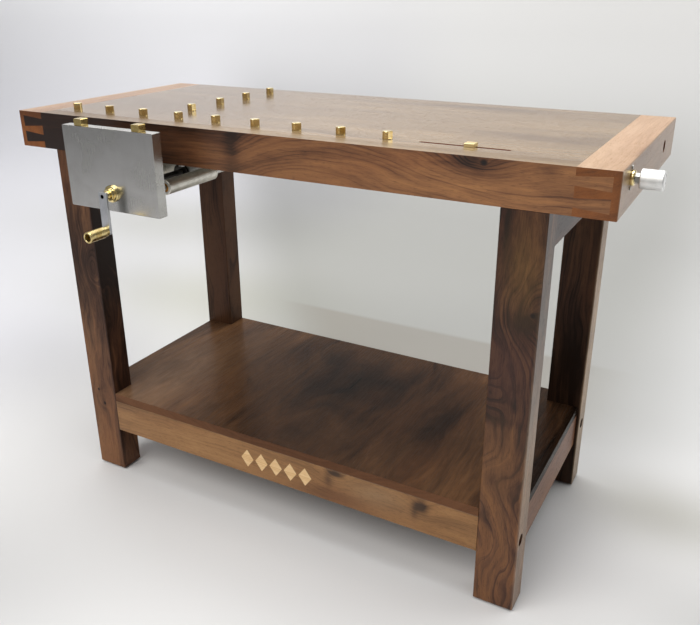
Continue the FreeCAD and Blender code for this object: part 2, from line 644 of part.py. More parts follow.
def make_frame_fasteners():
    """Bolts and cross nuts of the rails and end caps, coach screws of the top and the front vise, and the feet."""
    head = [("bolt_head_diameter", "0", "bolt_head_height"), ("bolt_diameter", "-bolt_length", "0")]
    socket = ("bolt_socket", "bolt_head_height - bolt_socket_depth", "bolt_head_height")
    barrel_back = "bolt_length - barrel_from_tip"
    bolts, barrels = [], []
    rows = [("leg_inset", "front + rail_thickness / 2", "rail_bolt_height", FORWARD),
            ("leg_inset", "leg_back + leg_depth / 2", "rail_bolt_height", FORWARD),
            ("0", "back - cap_bolt_setback", "bench_height - cap_bolt_drop", UPRIGHT)]
    for row, (inset, y, z, lie) in enumerate(rows):
        for side, face, sign, turn in (("left", "left + ", "+", LEFTWARD), ("right", "right - ", "-", SIDEWAYS)):
            seat = f"{face}{inset} {sign} counterbore_depth"
            bolts.append(turned_solid(f"bolt_{row}_{side}", head, seat, y, z, turn, socket))
            barrel = primitive("Cylinder", f"barrel_{row}_{side}",
                               {"Radius": "barrel_diameter / 2", "Height": "barrel_length"})
            bore = primitive("Cylinder", f"barrel_bore_{row}_{side}",
                             {"Radius": "bolt_diameter / 2 + running_clearance", "Height": "2 * barrel_diameter",
                              "Placement.Base.x": "-barrel_diameter", "Placement.Base.z": "barrel_length / 2"})
            bore.Placement.Rotation = SIDEWAYS
            nut = doc.addObject("Part::Cut", f"barrel_nut_{row}_{side}")
            nut.Base, nut.Tool = barrel, bore
            middle = "barrel_length / 2"
            if lie == FORWARD:
                locate(nut, f"{seat} {sign} ({barrel_back})", f"{y} + {middle}", z, lie)
            else:
                locate(nut, f"{seat} {sign} ({barrel_back})", y, f"{z} - {middle}", lie)
            barrels.append(nut)
    group("frame_bolts", bolts)
    group("barrel_nuts", barrels)
    shank = [("coach_head_diameter", "-coach_head_height", "0"), ("coach_diameter", "0", "coach_length")]
    screws = []
    rail_middle = "leg_inset + side_rail_inset + rail_thickness / 2"
    for side, x in (("left", f"left + {rail_middle}"), ("right", f"right - ({rail_middle})")):
        for end, way in (("front", "-"), ("back", "+")):
            y = f"front + leg_depth + frame_gap / 2 {way} top_screw_spacing / 2"
            screws.append(turned_solid(f"coach_{side}_{end}", shank, x, y,
                                       "underside - rail_height + coach_recess_depth", UPRIGHT))
    for side, way in (("left", "-"), ("right", "+")):
        for end, y in (("front", "mount_edge"), ("back", "mount_depth - mount_edge")):
            screws.append(turned_solid(f"mount_screw_{side}_{end}", shank,
                                       f"vise_x {way} (mount_length / 2 - mount_edge)", f"mount_front + {y}",
                                       "mount_low", UPRIGHT))
    group("coach_screws", screws)
    foot = [("glide_diameter", "0", "glide_height"), ("glide_pin_diameter", "glide_height",
                                                      "glide_height + glide_pin_length")]
    feet = [turned_solid(f"glide_{place}_{side}", foot, f"leg_{side} + leg_width / 2", f"{y} + leg_depth / 2", "0",
                         UPRIGHT)
            for place, y in (("front", "front"), ("back", "leg_back")) for side in ("left", "right")]
    group("foot_glides", feet)


def make_dogs():
    """The round brass dogs of both rows, each turned a little, with a flat planed on its head."""
    radius = "dog_diameter / 2"
    profile = [("0", "dog_proud - dog_length"), (f"{radius} - dog_chamfer", "dog_proud - dog_length"),
               (radius, "dog_proud - dog_length + dog_chamfer"), (radius, "dog_proud - dog_chamfer"),
               (f"{radius} - dog_chamfer", "dog_proud"), ("0", "dog_proud")]
    spots = [(f"dog_{number + 1}", f"first_dog + {number} * dog_pitch", "dog_row", turn)
             for number, turn in enumerate(ROW_TURNS)]
    spots += [(f"cross_dog_{number + 1}", "cross_x", f"cross_y + {number} * cross_pitch", turn)
              for number, turn in enumerate(CROSS_TURNS)]
    for node, x, y, degrees in spots:
        turn = FreeCAD.Rotation(FreeCAD.Vector(0, 0, 1), -degrees)
        dog = turned(node, profile, x, y, "bench_height", turn)
        flat = rectangle(sketch(dog, "Z", "dog_proud"), f"{radius} - dog_flat_depth", "-dog_diameter",
                         "dog_diameter", "dog_diameter")
        pocket(flat, "-Z", "dog_flat_height")


def tube_profile(outside, inside, start, end):
    """The half section of a plain tube along its axis."""
    return [(f"({inside}) / 2", start), (f"({outside}) / 2", start), (f"({outside}) / 2", end),
            (f"({inside}) / 2", end)]


def pair(node, profile, y):
    """Two like turned pieces on the axes of the two guide tubes."""
    members = []
    for side, way in (("left", "-"), ("right", "+")):
        piece = turned(f"{node}_{side}", profile, f"vise_x {way} tube_spacing / 2", y, "vise_z", FORWARD)
        nodes.remove(piece)
        members.append(piece)
    return members


def make_vise_fixed_side():
    """What the front vise keeps on the bench: mounting plate, carrier, nut, guide tubes and their bushes."""
    mount = board("vise_mount_plate", "vise_x - mount_length / 2", "mount_front", "mount_low", "mount_length",
                  "mount_depth", "mount_thickness")
    for x in ("mount_edge", "mount_length - mount_edge"):
        for y in ("mount_edge", "mount_depth - mount_edge"):
            pocket(circle(sketch(mount, "Z"), x, y, "coach_diameter + 2 * hole_clearance"), "+Z", "mount_thickness")
    carrier = new_body("vise_carrier", "vise_x", "front + carrier_setback", "vise_z")
    face = rectangle(sketch(carrier, "Y"), "-tube_spacing / 2", "-carrier_foot", "tube_spacing / 2",
                     "mount_low - vise_z")
    pad(face, "+Y", "carrier_thickness")
    for x, size in (("-tube_spacing / 2", "tube_diameter"), ("tube_spacing / 2", "tube_diameter"),
                    ("0", "nut_diameter + 2 * running_clearance")):
        pocket(circle(sketch(carrier, "Y"), x, "0", size), "+Y", "carrier_thickness")
    bore = "screw_diameter / 2 + running_clearance"
    turned("vise_nut", [(bore, "nut_flange_thickness"), ("nut_flange_diameter / 2", "nut_flange_thickness"),
                        ("nut_flange_diameter / 2", "0"), ("nut_diameter / 2", "0"),
                        ("nut_diameter / 2", "nut_flange_thickness - nut_length"),
                        (bore, "nut_flange_thickness - nut_length")],
           "vise_x", "front + carrier_setback", "vise_z", FORWARD)
    group("guide_tubes", pair("guide_tube", tube_profile("tube_diameter", "tube_bore", "-tube_length", "0"),
                              "front + tube_setback"))
    rod_bore = "rod_diameter + 2 * running_clearance"
    bushes = pair("front_bush", tube_profile("tube_bore", rod_bore, "-bush_length", "0"),
                  "front + tube_setback + bush_recess")
    bushes += pair("back_bush", tube_profile("tube_bore", rod_bore, "0", "bush_length"),
                   "front + tube_setback + tube_length - bush_recess")
    group("guide_bushes", bushes)


def make_jaw():
    """The jaw plate, its guide rods, the brass bearing on its face and the two square dogs on its edge."""
    jaw = board("jaw_plate", "vise_x - jaw_width / 2", "jaw_front", "bench_height - jaw_drop - jaw_height",
                "jaw_width", "jaw_thickness", "jaw_height", eased=False)
    ease(jaw, "jaw_arris")
    up = "jaw_height + jaw_drop - vise_drop"
    pocket(circle(sketch(jaw, "Y"), "jaw_width / 2", up, "journal_diameter + 2 * running_clearance"), "+Y",
           "jaw_thickness")
    for way in ("-", "+"):
        pocket(circle(sketch(jaw, "Y", "jaw_thickness"), f"jaw_width / 2 {way} tube_spacing / 2", up, "rod_diameter"),
               "-Y", "rod_socket")
        pocket(circle(sketch(jaw, "Z", "jaw_height"), f"jaw_width / 2 {way} vise_dog_spacing / 2",
                      "jaw_thickness / 2", "vise_dog_shank + 2 * slip_clearance"), "-Z", "vise_dog_depth + 1")
    rod = [("0", "rod_socket"), ("0", "rod_socket - rod_length"), ("rod_diameter / 2 - 1", "rod_socket - rod_length"),
           ("rod_diameter / 2", "rod_socket - rod_length + 1"), ("rod_diameter / 2", "rod_socket")]
    group("guide_rods", pair("guide_rod", rod, "jaw_back"))
    bore = "journal_diameter / 2 + running_clearance"
    turned("screw_flange", [(bore, "0"), ("flange_diameter / 2", "0"), ("flange_diameter / 2", "flange_thickness - 1"),
                            ("flange_diameter / 2 - 1", "flange_thickness"), ("boss_diameter / 2", "flange_thickness"),
                            ("boss_diameter / 2", "flange_thickness + boss_thickness - 1"),
                            ("boss_diameter / 2 - 1", "flange_thickness + boss_thickness"),
                            (bore, "flange_thickness + boss_thickness")],
           "vise_x", "jaw_front", "vise_z", FORWARD)
    for side, way in (("left", "-"), ("right", "+")):
        dog = new_body(f"vise_dog_{side}", f"vise_x {way} vise_dog_spacing / 2", "jaw_front + jaw_thickness / 2",
                       "bench_height - jaw_drop")
        pad(rectangle(sketch(dog, "Z"), "-vise_dog_width / 2", "-vise_dog_width / 2", "vise_dog_width / 2",
                      "vise_dog_width / 2"), "+Z", "vise_dog_proud")
        ease(dog, "dog_chamfer")
        pad(circle(sketch(dog, "Z"), "0", "0", "vise_dog_shank"), "-Z", "vise_dog_depth")


def make_crank():
    """The vise screw with its collar, sleeve, crank arm and socket screw, and the grip on its pin."""
    reach = "screw_reach + jaw_thickness"
    nose = "flange_thickness + boss_thickness + seat_clearance + sleeve_length"
    turned("lead_screw", [("0", f"-({reach})"), ("screw_diameter / 2 - 2", f"-({reach})"),
                          ("screw_diameter / 2", f"2 - ({reach})"),
                          ("screw_diameter / 2", "-jaw_thickness - seat_clearance - thrust_thickness"),
                          ("journal_diameter / 2", "-jaw_thickness - seat_clearance - thrust_thickness"),
                          ("journal_diameter / 2", nose), ("crank_screw_diameter / 2", nose),
                          ("crank_screw_diameter / 2", f"{nose} - crank_screw_length + arm_thickness"
                           " - crank_screw_sink"),
                          ("0", f"{nose} - crank_screw_length + arm_thickness - crank_screw_sink")],
           "vise_x", "jaw_front", "vise_z", FORWARD)
    turned("thrust_collar", tube_profile("thrust_diameter", "journal_diameter", "0", "thrust_thickness"),
           "vise_x", "jaw_back + seat_clearance + thrust_thickness", "vise_z", FORWARD)
    turned("spindle_sleeve", tube_profile("sleeve_diameter", "journal_diameter", "0", "sleeve_length"),
           "vise_x", "arm_back + sleeve_length", "vise_z", FORWARD)
    arm = board("crank_arm", "vise_x - arm_width / 2", "arm_front", "vise_z - crank_throw - arm_tail", "arm_width",
                "arm_thickness", "arm_top + crank_throw + arm_tail", eased=False)
    ease(arm, "arris")
    pocket(circle(sketch(arm, "Y"), "arm_width / 2", "arm_tail + crank_throw", "crank_screw_diameter"), "+Y",
           "arm_thickness")
    pocket(circle(sketch(arm, "Y"), "arm_width / 2", "arm_tail", "pin_diameter"), "+Y", "arm_thickness")
    screw = turned("crank_screw", [("0", "-crank_screw_length"), ("crank_screw_diameter / 2", "-crank_screw_length"),
                                   ("crank_screw_diameter / 2", "0"), ("0", "0")],
                   "vise_x", "arm_front + crank_screw_sink", "vise_z", FORWARD)
    hexagon = "crank_screw_socket / sqrt(3)"
    corners = [(hexagon, "0"), (f"{hexagon} / 2", "crank_screw_socket / 2"),
               (f"-{hexagon} / 2", "crank_screw_socket / 2"), (f"-{hexagon}", "0"),
               (f"-{hexagon} / 2", "-crank_screw_socket / 2"), (f"{hexagon} / 2", "-crank_screw_socket / 2")]
    pocket(outline(sketch(screw, "Z"), corners), "-Z", "crank_screw_length / 2")
    web = "grip_length - grip_bore_depth"
    head_top = f"seat_clearance + {web} + seat_clearance + pin_head_height"
    turned("grip_pin", [("0", "-arm_thickness"), ("pin_diameter / 2", "-arm_thickness"),
                        ("pin_diameter / 2", f"{web} + 2 * seat_clearance"),
                        ("pin_head_diameter / 2", f"{web} + 2 * seat_clearance"),
                        ("pin_head_diameter / 2", head_top), ("0", head_top)],
           "vise_x", "arm_front", "vise_z - crank_throw", FORWARD)
    bore = "pin_diameter / 2 + running_clearance"
    turned("crank_grip", [(bore, "0"), ("grip_neck_diameter / 2", "0"), ("grip_neck_diameter / 2", "grip_neck_length"),
                          ("grip_diameter / 2", "grip_neck_length + 1"), ("grip_diameter / 2", "grip_length - 1"),
                          ("grip_diameter / 2 - 1", "grip_length"), ("grip_bore / 2", "grip_length"),
                          ("grip_bore / 2", web), (bore, web)],
           "vise_x", "arm_front - seat_clearance", "vise_z - crank_throw", FORWARD)


def make_tail_vise():
    """The tail vise: slotted tube in the top, its bearings, screw, knob, travelling nut and dog."""
    axis = ("dog_row", "tail_z")
    tube = turned("tail_guide_tube", tube_profile("tail_tube_diameter", "tail_tube_bore", "0", "tail_tube_length"),
                  "tail_tube_left", *axis, SIDEWAYS)
    slot = rectangle(sketch(tube, "X", "-tail_tube_diameter / 2"), "-tail_slot_width / 2", "tail_bore_margin",
                     "tail_slot_width / 2", "tail_bore_margin + tail_slot_length")
    pocket(slot, "+X", "tail_tube_diameter / 2")
    bearing = "tail_screw_diameter / 2 + running_clearance"
    turned("tail_flange", [(bearing, "-tail_spigot_length"), ("tail_tube_bore / 2", "-tail_spigot_length"),
                           ("tail_tube_bore / 2", "0"), ("tail_flange_diameter / 2", "0"),
                           ("tail_flange_diameter / 2", "tail_flange_thickness - 1"),
                           ("tail_flange_diameter / 2 - 1", "tail_flange_thickness"),
                           (bearing, "tail_flange_thickness")], "right", *axis, SIDEWAYS)
    journal = "tail_journal_diameter / 2 + running_clearance"
    turned("tail_far_bearing", tube_profile("tail_tube_bore", f"2 * ({journal})", "0", "far_bearing_length"),
           "tail_tube_left", *axis, SIDEWAYS)
    shank = [("tail_lock_head", "0", "tail_lock_diameter / 2"), ("tail_lock_diameter", "-tail_lock_length", "0")]
    group("tail_lock_screws", [turned_solid(f"lock_screw_{name}", shank, "right", axis[0],
                                            f"{axis[1]} {way} tail_lock_spacing / 2", SIDEWAYS)
                               for name, way in (("low", "-"), ("high", "+"))])
    inner = "-tail_spigot_length - seat_clearance"
    far = "-tail_tube_length"
    shoulder = f"{far} + far_bearing_length + seat_clearance"
    turned("tail_screw", [("0", f"{far} + 1"), ("tail_journal_diameter / 2", f"{far} + 1"),
                          ("tail_journal_diameter / 2", shoulder), ("tail_screw_diameter / 2", shoulder),
                          ("tail_screw_diameter / 2", f"{inner} - tail_collar_thickness"),
                          ("tail_collar_diameter / 2", f"{inner} - tail_collar_thickness"),
                          ("tail_collar_diameter / 2", inner), ("tail_screw_diameter / 2", inner),
                          ("tail_screw_diameter / 2", "knob_gap + knob_bore_depth"),
                          ("0", "knob_gap + knob_bore_depth")], "right", *axis, SIDEWAYS)
    lock = new_body("tail_lock_nut", "right", *axis, SIDEWAYS)
    corner, flank = "lock_nut_width / sqrt(3)", "lock_nut_width / 2"
    six_sides = outline(sketch(lock, "Z", "tail_flange_thickness + seat_clearance"),
                        [(corner, "0"), (f"{corner} / 2", flank), (f"-{corner} / 2", flank), (f"-{corner}", "0"),
                         (f"-{corner} / 2", f"-{flank}"), (f"{corner} / 2", f"-{flank}")])
    pad(six_sides, "+Z", "knob_gap - tail_flange_thickness - seat_clearance")
    pocket(circle(sketch(lock, "Z", "knob_gap"), "0", "0", "tail_screw_diameter"), "-Z", "knob_gap")
    knob = turned("tail_knob", [("tail_screw_diameter / 2", "knob_gap"), ("knob_diameter / 2 - 1.5", "knob_gap"),
                                ("knob_diameter / 2", "knob_gap + 1.5"),
                                ("knob_diameter / 2", "knob_gap + knob_length - 1.5"),
                                ("knob_diameter / 2 - 1.5", "knob_gap + knob_length"),
                                ("0", "knob_gap + knob_length"), ("0", "knob_gap + knob_bore_depth"),
                                ("tail_screw_diameter / 2", "knob_gap + knob_bore_depth")],
                  "right", *axis, SIDEWAYS)
    flat = circle(sketch(knob, "Z", "knob_gap + knob_length"), "knob_hole_circle / 2", "0", "knob_hole_diameter")
    hole = pocket(flat, "-Z", "knob_hole_depth")
    ring = knob.newObject("PartDesign::PolarPattern", "tail_knob_ring")
    ring.Originals = [hole]
    ring.Axis = (flat, ["N_Axis"])
    ring.Angle = 360
    ring.Occurrences = KNOB_HOLES
    knob.Tip = ring
    doc.recompute()
    nut = turned("tail_nut", tube_profile("tail_tube_bore - 2 * slip_clearance",
                                          "tail_screw_diameter + 2 * running_clearance", "-tail_nut_length / 2",
                                          "tail_nut_length / 2"), "tail_dog_x", *axis, SIDEWAYS)
    neck = rectangle(sketch(nut, "X", "-tail_drop - seat_clearance"), "-tail_slot_width / 2 + seat_clearance",
                     "-tail_neck_length / 2", "tail_slot_width / 2 - seat_clearance", "tail_neck_length / 2")
    pad(neck, "+X", "tail_drop + seat_clearance - tail_screw_diameter / 2 - 1")
    dog = board("tail_dog", "tail_dog_x - tail_dog_length / 2", "dog_row - tail_dog_width / 2",
                "bench_height + seat_clearance", "tail_dog_length", "tail_dog_width",
                "tail_dog_proud - seat_clearance", eased=False)
    ease(dog, "dog_chamfer", lambda middle: middle.z > value("tail_dog_proud") / 4)


def check_model():
    """Stops if any object failed or any sub-part's shape is empty or broken."""
    doc.recompute()
    failed = [item.Name for item in doc.Objects if {"Invalid", "Error"} & set(item.State)]
    broken = [item.Label for item in nodes if item.Shape.isNull() or not item.Shape.isValid()]
    if failed or broken:
        raise ValueError(f"failed: {failed}, broken: {broken}")


make_sheets()
make_slab()
make_apron()
make_end_cap("left")
make_end_cap("right")
for place in ("front", "back"):
    for side in ("left", "right"):
        make_leg(place, side)
for side in ("left", "right"):
    make_side_rail("top_rail", side, "underside - rail_height")
    make_side_rail("side_rail", side, "rail_floor_gap")
make_front_rail()
make_long_rail("back_rail", "back_rail_y", "0", "+Y")
make_shelf()
make_frame_fasteners()
make_dogs()
make_vise_fixed_side()
make_jaw()
make_crank()
make_tail_vise()
check_model()
os.makedirs("parts", exist_ok=True)
for item in nodes:
    item.Shape.exportStep(f"parts/{item.Label}.step")
    print(item.Label, len(item.Shape.Solids), round(item.Shape.Volume))
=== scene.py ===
import math

import bmesh
import bpy
import numpy as np
from mathutils import Matrix, Vector


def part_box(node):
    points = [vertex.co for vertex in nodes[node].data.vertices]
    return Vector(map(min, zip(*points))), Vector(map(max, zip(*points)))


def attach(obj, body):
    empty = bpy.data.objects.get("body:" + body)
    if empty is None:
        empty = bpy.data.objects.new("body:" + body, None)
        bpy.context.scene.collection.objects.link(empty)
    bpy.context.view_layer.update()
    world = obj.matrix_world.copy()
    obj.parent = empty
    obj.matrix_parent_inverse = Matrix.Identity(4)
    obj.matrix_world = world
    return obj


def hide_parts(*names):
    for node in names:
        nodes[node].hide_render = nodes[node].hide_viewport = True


# The looks of a walnut workbench with a front vise, a tail vise and two rows of brass bench dogs.
# Everything is in metres in the frame of the solids: +Z up, the floor at z = 0, the front faces -Y.

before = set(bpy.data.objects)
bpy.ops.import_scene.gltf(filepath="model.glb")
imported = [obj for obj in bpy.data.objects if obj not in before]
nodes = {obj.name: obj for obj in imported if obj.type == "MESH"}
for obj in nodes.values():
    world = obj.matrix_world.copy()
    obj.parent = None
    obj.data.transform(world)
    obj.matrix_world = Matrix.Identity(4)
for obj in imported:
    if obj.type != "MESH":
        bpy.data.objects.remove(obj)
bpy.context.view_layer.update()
MM = 0.001

# ---------------------------------------------------------------- colours and nodes


def rgb(text):
    """An sRGB hex colour turned to the linear values that the shaders work in."""
    parts = [int(text[i:i + 2], 16) / 255 for i in (1, 3, 5)]
    return tuple(c / 12.92 if c <= 0.04045 else ((c + 0.055) / 1.055) ** 2.4 for c in parts) + (1.0,)


def add(tree, kind, inputs=None, **settings):
    """Adds one node: its settings first, then each input as a value or a link from another socket."""
    node = tree.nodes.new("ShaderNode" + kind)
    for key, setting in settings.items():
        setattr(node, key, setting)
    for key, given in (inputs or {}).items():
        if isinstance(given, bpy.types.NodeSocket):
            tree.links.new(given, node.inputs[key])
        else:
            node.inputs[key].default_value = given
    return node


def blank(name):
    """A new material with nothing but a surface shader; gives the material, its tree and the shader."""
    made = bpy.data.materials.new(name)
    made.use_nodes = True
    tree = made.node_tree
    tree.nodes.clear()
    shader = add(tree, "BsdfPrincipled")
    add(tree, "OutputMaterial", {"Surface": shader.outputs["BSDF"]})
    return made, tree, shader


def math_node(tree, operation, first, second=0.0):
    """One calculation with numbers."""
    return add(tree, "Math", {0: first, 1: second}, operation=operation).outputs[0]


def plus(tree, first, second):
    """The sum of two numbers."""
    return math_node(tree, "ADD", first, second)


def minus(tree, first, second):
    """The difference of two numbers."""
    return math_node(tree, "SUBTRACT", first, second)


def times(tree, first, *factors):
    """The product of two or more numbers."""
    for factor in factors:
        first = math_node(tree, "MULTIPLY", first, factor)
    return first


def vector_node(tree, operation, first, second=(0.0, 0.0, 0.0)):
    """One calculation with vectors."""
    return add(tree, "VectorMath", {0: first, 1: second}, operation=operation).outputs


def scaled(tree, vector, factors):
    """A vector with each part multiplied by its own factor."""
    return vector_node(tree, "MULTIPLY", vector, factors)[0]


def spread(tree, given, low, high, to_low=0.0, to_high=1.0):
    """Stretches the part of a value between low and high over a new range, smoothly at both ends."""
    inputs = {"Value": given, "From Min": low, "From Max": high, "To Min": to_low, "To Max": to_high}
    return add(tree, "MapRange", inputs, interpolation_type="SMOOTHSTEP").outputs["Result"]


def blend(tree, share, first, second, how="MIX"):
    """Mixes two colours by a share."""
    return add(tree, "Mix", {0: share, 6: first, 7: second}, data_type="RGBA", blend_type=how).outputs[2]


def noise(tree, vector, detail=2.0, roughness=0.5, distortion=0.0):
    """Noise of one cell per unit of a vector that is already scaled to the real size of the marks."""
    inputs = {"Vector": vector, "Scale": 1.0, "Detail": detail, "Roughness": roughness, "Distortion": distortion}
    return add(tree, "TexNoise", inputs).outputs


def object_place(tree):
    """Where a point lies, in metres; every piece has its origin at the frame's."""
    return add(tree, "TexCoord").outputs["Object"]


def bell(tree, square):
    """A bell curve: e to the power of minus a square."""
    return math_node(tree, "EXPONENT", times(tree, square, -1.0))


def nearness(tree, place, spot, size):
    """1 at a spot and falling away as a bell curve, with its own width along each axis."""
    away = scaled(tree, vector_node(tree, "SUBTRACT", place, spot)[0], [1 / width for width in size])
    return bell(tree, vector_node(tree, "DOT_PRODUCT", away, away)["Value"])


def bumped(tree, shader, height, depth):
    """Gives a shader a relief of a real depth in metres."""
    bump = add(tree, "Bump", {"Height": height, "Strength": 1.0, "Distance": depth})
    tree.links.new(bump.outputs["Normal"], shader.inputs["Normal"])


# ---------------------------------------------------------------- woods

# noise cells per metre along, across and up the log
DRIFT_CELLS, CURL_CELLS = (1.9, 6, 6), (9, 22, 22)
CLOUD_CELLS, PATCH_CELLS = (2.2, 9, 9), (14, 45, 45)
FIBRE_CELLS, PORE_CELLS = (9, 420, 420), (75, 950, 950)
# streaks: noise cells per metre along the log and per growth ring
STREAK_CELLS, BROAD_CELLS = (3.2, 0.55), (1.3, 0.15)
# how far, in metres, the heart line wanders slowly and curls quickly
DRIFT_REACH, CURL_REACH = 0.085, 0.012
# how far one stave lies from the next along the log and up it, in metres
STAVE_SHIFT, STAVE_LIFT = 7.0, 0.05
# where the tones lie between the palest wood and the deepest, and what moves the wood along them
SECOND_TONE, THIRD_TONE = 0.38, 0.7
USUAL_SHARE, STREAK_WEIGHT, BROAD_WEIGHT, STAVE_WEIGHT = 0.45, 1.5, 1.3, 0.22
BLUSH_TONE, KNOT_TONE, PORE_DARKNESS = "#d69c94", "#120b07", 0.35
# satin oil: the roughness that pores and fibres add, and the depth of their relief in metres
PORE_ROUGHNESS, FIBRE_ROUGHNESS, PORE_DEPTH = 0.15, 0.10, 0.00005


def ring_count(tree, point, place, along, ring, wander, curl, knots, crotches, waves):
    """How many growth rings lie between a point and the heart of the log, and how dark the knots are there.

    The count is the distance from a wandering heart line over the ring width. A knot lifts it near itself, so the
    rings flow round it. A crotch lifts it by a pointed curve along the log, so the rings meet in a feather, and a
    wave lifts it by a bell curve."""
    moved = point
    for cells, reach in ((DRIFT_CELLS, DRIFT_REACH * wander), (CURL_CELLS, CURL_REACH * curl)):
        drift = noise(tree, scaled(tree, point, cells), detail=1.5)["Color"]
        drift = vector_node(tree, "SUBTRACT", drift, (0.5, 0.5, 0.5))[0]
        moved = vector_node(tree, "ADD", moved, scaled(tree, drift, (0, reach, reach)))[0]
    radius = vector_node(tree, "LENGTH", scaled(tree, moved, (0, 1, 1)))["Value"]
    count = math_node(tree, "DIVIDE", radius, ring * MM)
    for spot, width, lift in crotches:
        away = math_node(tree, "ABSOLUTE", minus(tree, along, spot))
        feather = math_node(tree, "EXPONENT", math_node(tree, "DIVIDE", away, -width))
        count = plus(tree, count, times(tree, feather, lift))
    for spot, width, lift in waves:
        away = math_node(tree, "DIVIDE", minus(tree, along, spot), width)
        count = plus(tree, count, times(tree, bell(tree, times(tree, away, away)), lift))
    core = 0.0
    for spot, size, lift, dark in knots:
        near = nearness(tree, place, spot, size)
        count = plus(tree, count, times(tree, near, lift))
        if dark:
            core = plus(tree, core, spread(tree, near, 0.45, 0.95, 0.0, dark))
    return count, core


def streaks(tree, along, count, cells, tint, **marks):
    """Noise drawn out along the log that follows the growth rings."""
    flow = {0: times(tree, along, cells[0]), 1: times(tree, count, cells[1]), 2: tint}
    return noise(tree, add(tree, "CombineXYZ", flow).outputs[0], **marks)["Fac"]


def wood_look(tree, coordinates, grain, heart, tones, end, ring=7.0, wander=1.0, curl=1.0, line=0.25,
              contrast=1.0, fibre=0.5, mottle=0.3, staves=0.0, knots=(), crotches=(), waves=(), shades=(),
              tints=(), blush=0.3):
    """Colour, pores and fibres of a board sawn from a log.

    Streaks are noise over the way along the log and the ring count, so they follow the rings. Late wood adds a thin
    darker line to some rings. Shades darken or, below nothing, lighten a place, and tints lay another colour over
    it. The four tones go from the palest wood to the deepest, and end gives two tones of end grain."""
    place = coordinates.outputs["Object"]
    axes = add(tree, "SeparateXYZ", {0: place}).outputs
    order = {"X": (0, 1, 2), "Y": (1, 0, 2), "Z": (2, 0, 1)}[grain]
    along, across, up = (axes[i] for i in order)
    plain_along = along
    across = minus(tree, across, heart[0])
    up = minus(tree, up, heart[1])
    tint = 0.5
    if staves:
        # a panel glued from staves: each is its own piece of wood, shifted along the log and a little other in tone
        stave = math_node(tree, "FLOOR", math_node(tree, "DIVIDE", across, staves))
        tint = add(tree, "TexWhiteNoise", {"W": stave}, noise_dimensions="1D").outputs["Value"]
        along = plus(tree, along, times(tree, tint, STAVE_SHIFT))
        up = plus(tree, up, times(tree, tint, STAVE_LIFT))
    point = add(tree, "CombineXYZ", {0: along, 1: across, 2: up}).outputs[0]
    count, core = ring_count(tree, point, place, plain_along, ring, wander, curl, knots, crotches, waves)

    streak = streaks(tree, along, count, STREAK_CELLS, tint, detail=5.0, roughness=0.68, distortion=0.25)
    broad = streaks(tree, along, count, BROAD_CELLS, tint, detail=2.0)
    turn = math_node(tree, "FRACT", count)
    late = times(tree, spread(tree, turn, 0.45, 0.92), spread(tree, turn, 1.0, 0.93))
    late = times(tree, late, spread(tree, streak, 0.42, 0.60, 0.1, 1.0))
    patch = noise(tree, scaled(tree, point, PATCH_CELLS), detail=3.0, distortion=0.8)["Fac"]
    fibres = noise(tree, scaled(tree, point, FIBRE_CELLS), detail=3.0, roughness=0.65)["Fac"]
    pores = noise(tree, scaled(tree, point, PORE_CELLS), detail=1.0)["Fac"]
    pores = spread(tree, pores, 0.60, 0.68)

    # each mark moves the tone by its distance from its own usual value
    marks = [(streak, 0.5, STREAK_WEIGHT * contrast), (broad, 0.5, BROAD_WEIGHT * contrast), (late, 0.2, line),
             (fibres, 0.5, fibre), (patch, 0.5, mottle)]
    if staves:
        marks.append((tint, 0.5, STAVE_WEIGHT))
    share = USUAL_SHARE
    for mark, usual, weight in marks:
        share = plus(tree, times(tree, minus(tree, mark, usual), weight), share)
    # some shades are dark figure in the wood and some are painted shade; the finishes below say which
    for spot, size, amount in shades:
        share = plus(tree, share, times(tree, nearness(tree, place, spot, size), amount))
    ramp_node = add(tree, "ValToRGB", {"Fac": share})
    ramp = ramp_node.color_ramp.elements
    ramp[0].position, ramp[0].color = 0.0, rgb(tones[0])
    ramp[1].position, ramp[1].color = 1.0, rgb(tones[3])
    for position, tone in ((SECOND_TONE, tones[1]), (THIRD_TONE, tones[2])):
        ramp.new(position).color = rgb(tone)
    colour = ramp_node.outputs["Color"]
    cloud = noise(tree, scaled(tree, point, CLOUD_CELLS), detail=2.0, distortion=0.6)["Fac"]
    colour = blend(tree, spread(tree, cloud, 0.42, 0.68, 0.0, blush), colour, rgb(BLUSH_TONE), "MULTIPLY")
    # some tints are figure in the wood and some are painted reflection and painted sheen; the finishes below say
    # which
    for spot, size, tone, amount in tints:
        near = times(tree, nearness(tree, place, spot, size), amount)
        near = times(tree, near, spread(tree, patch, 0.2, 0.8, 1.3, 0.7))
        colour = blend(tree, near, colour, rgb(tone))
    facing = add(tree, "SeparateXYZ", {0: coordinates.outputs["Normal"]}).outputs[order[0]]
    endwise = spread(tree, math_node(tree, "ABSOLUTE", facing), 0.6, 0.8)
    ends = blend(tree, spread(tree, share, 0.1, 0.9), rgb(end[0]), rgb(end[1]))
    colour = blend(tree, endwise, colour, ends)
    colour = blend(tree, times(tree, pores, PORE_DARKNESS), colour, rgb(tones[3]))
    if knots:
        colour = blend(tree, core, colour, rgb(KNOT_TONE))
    return colour, pores, fibres


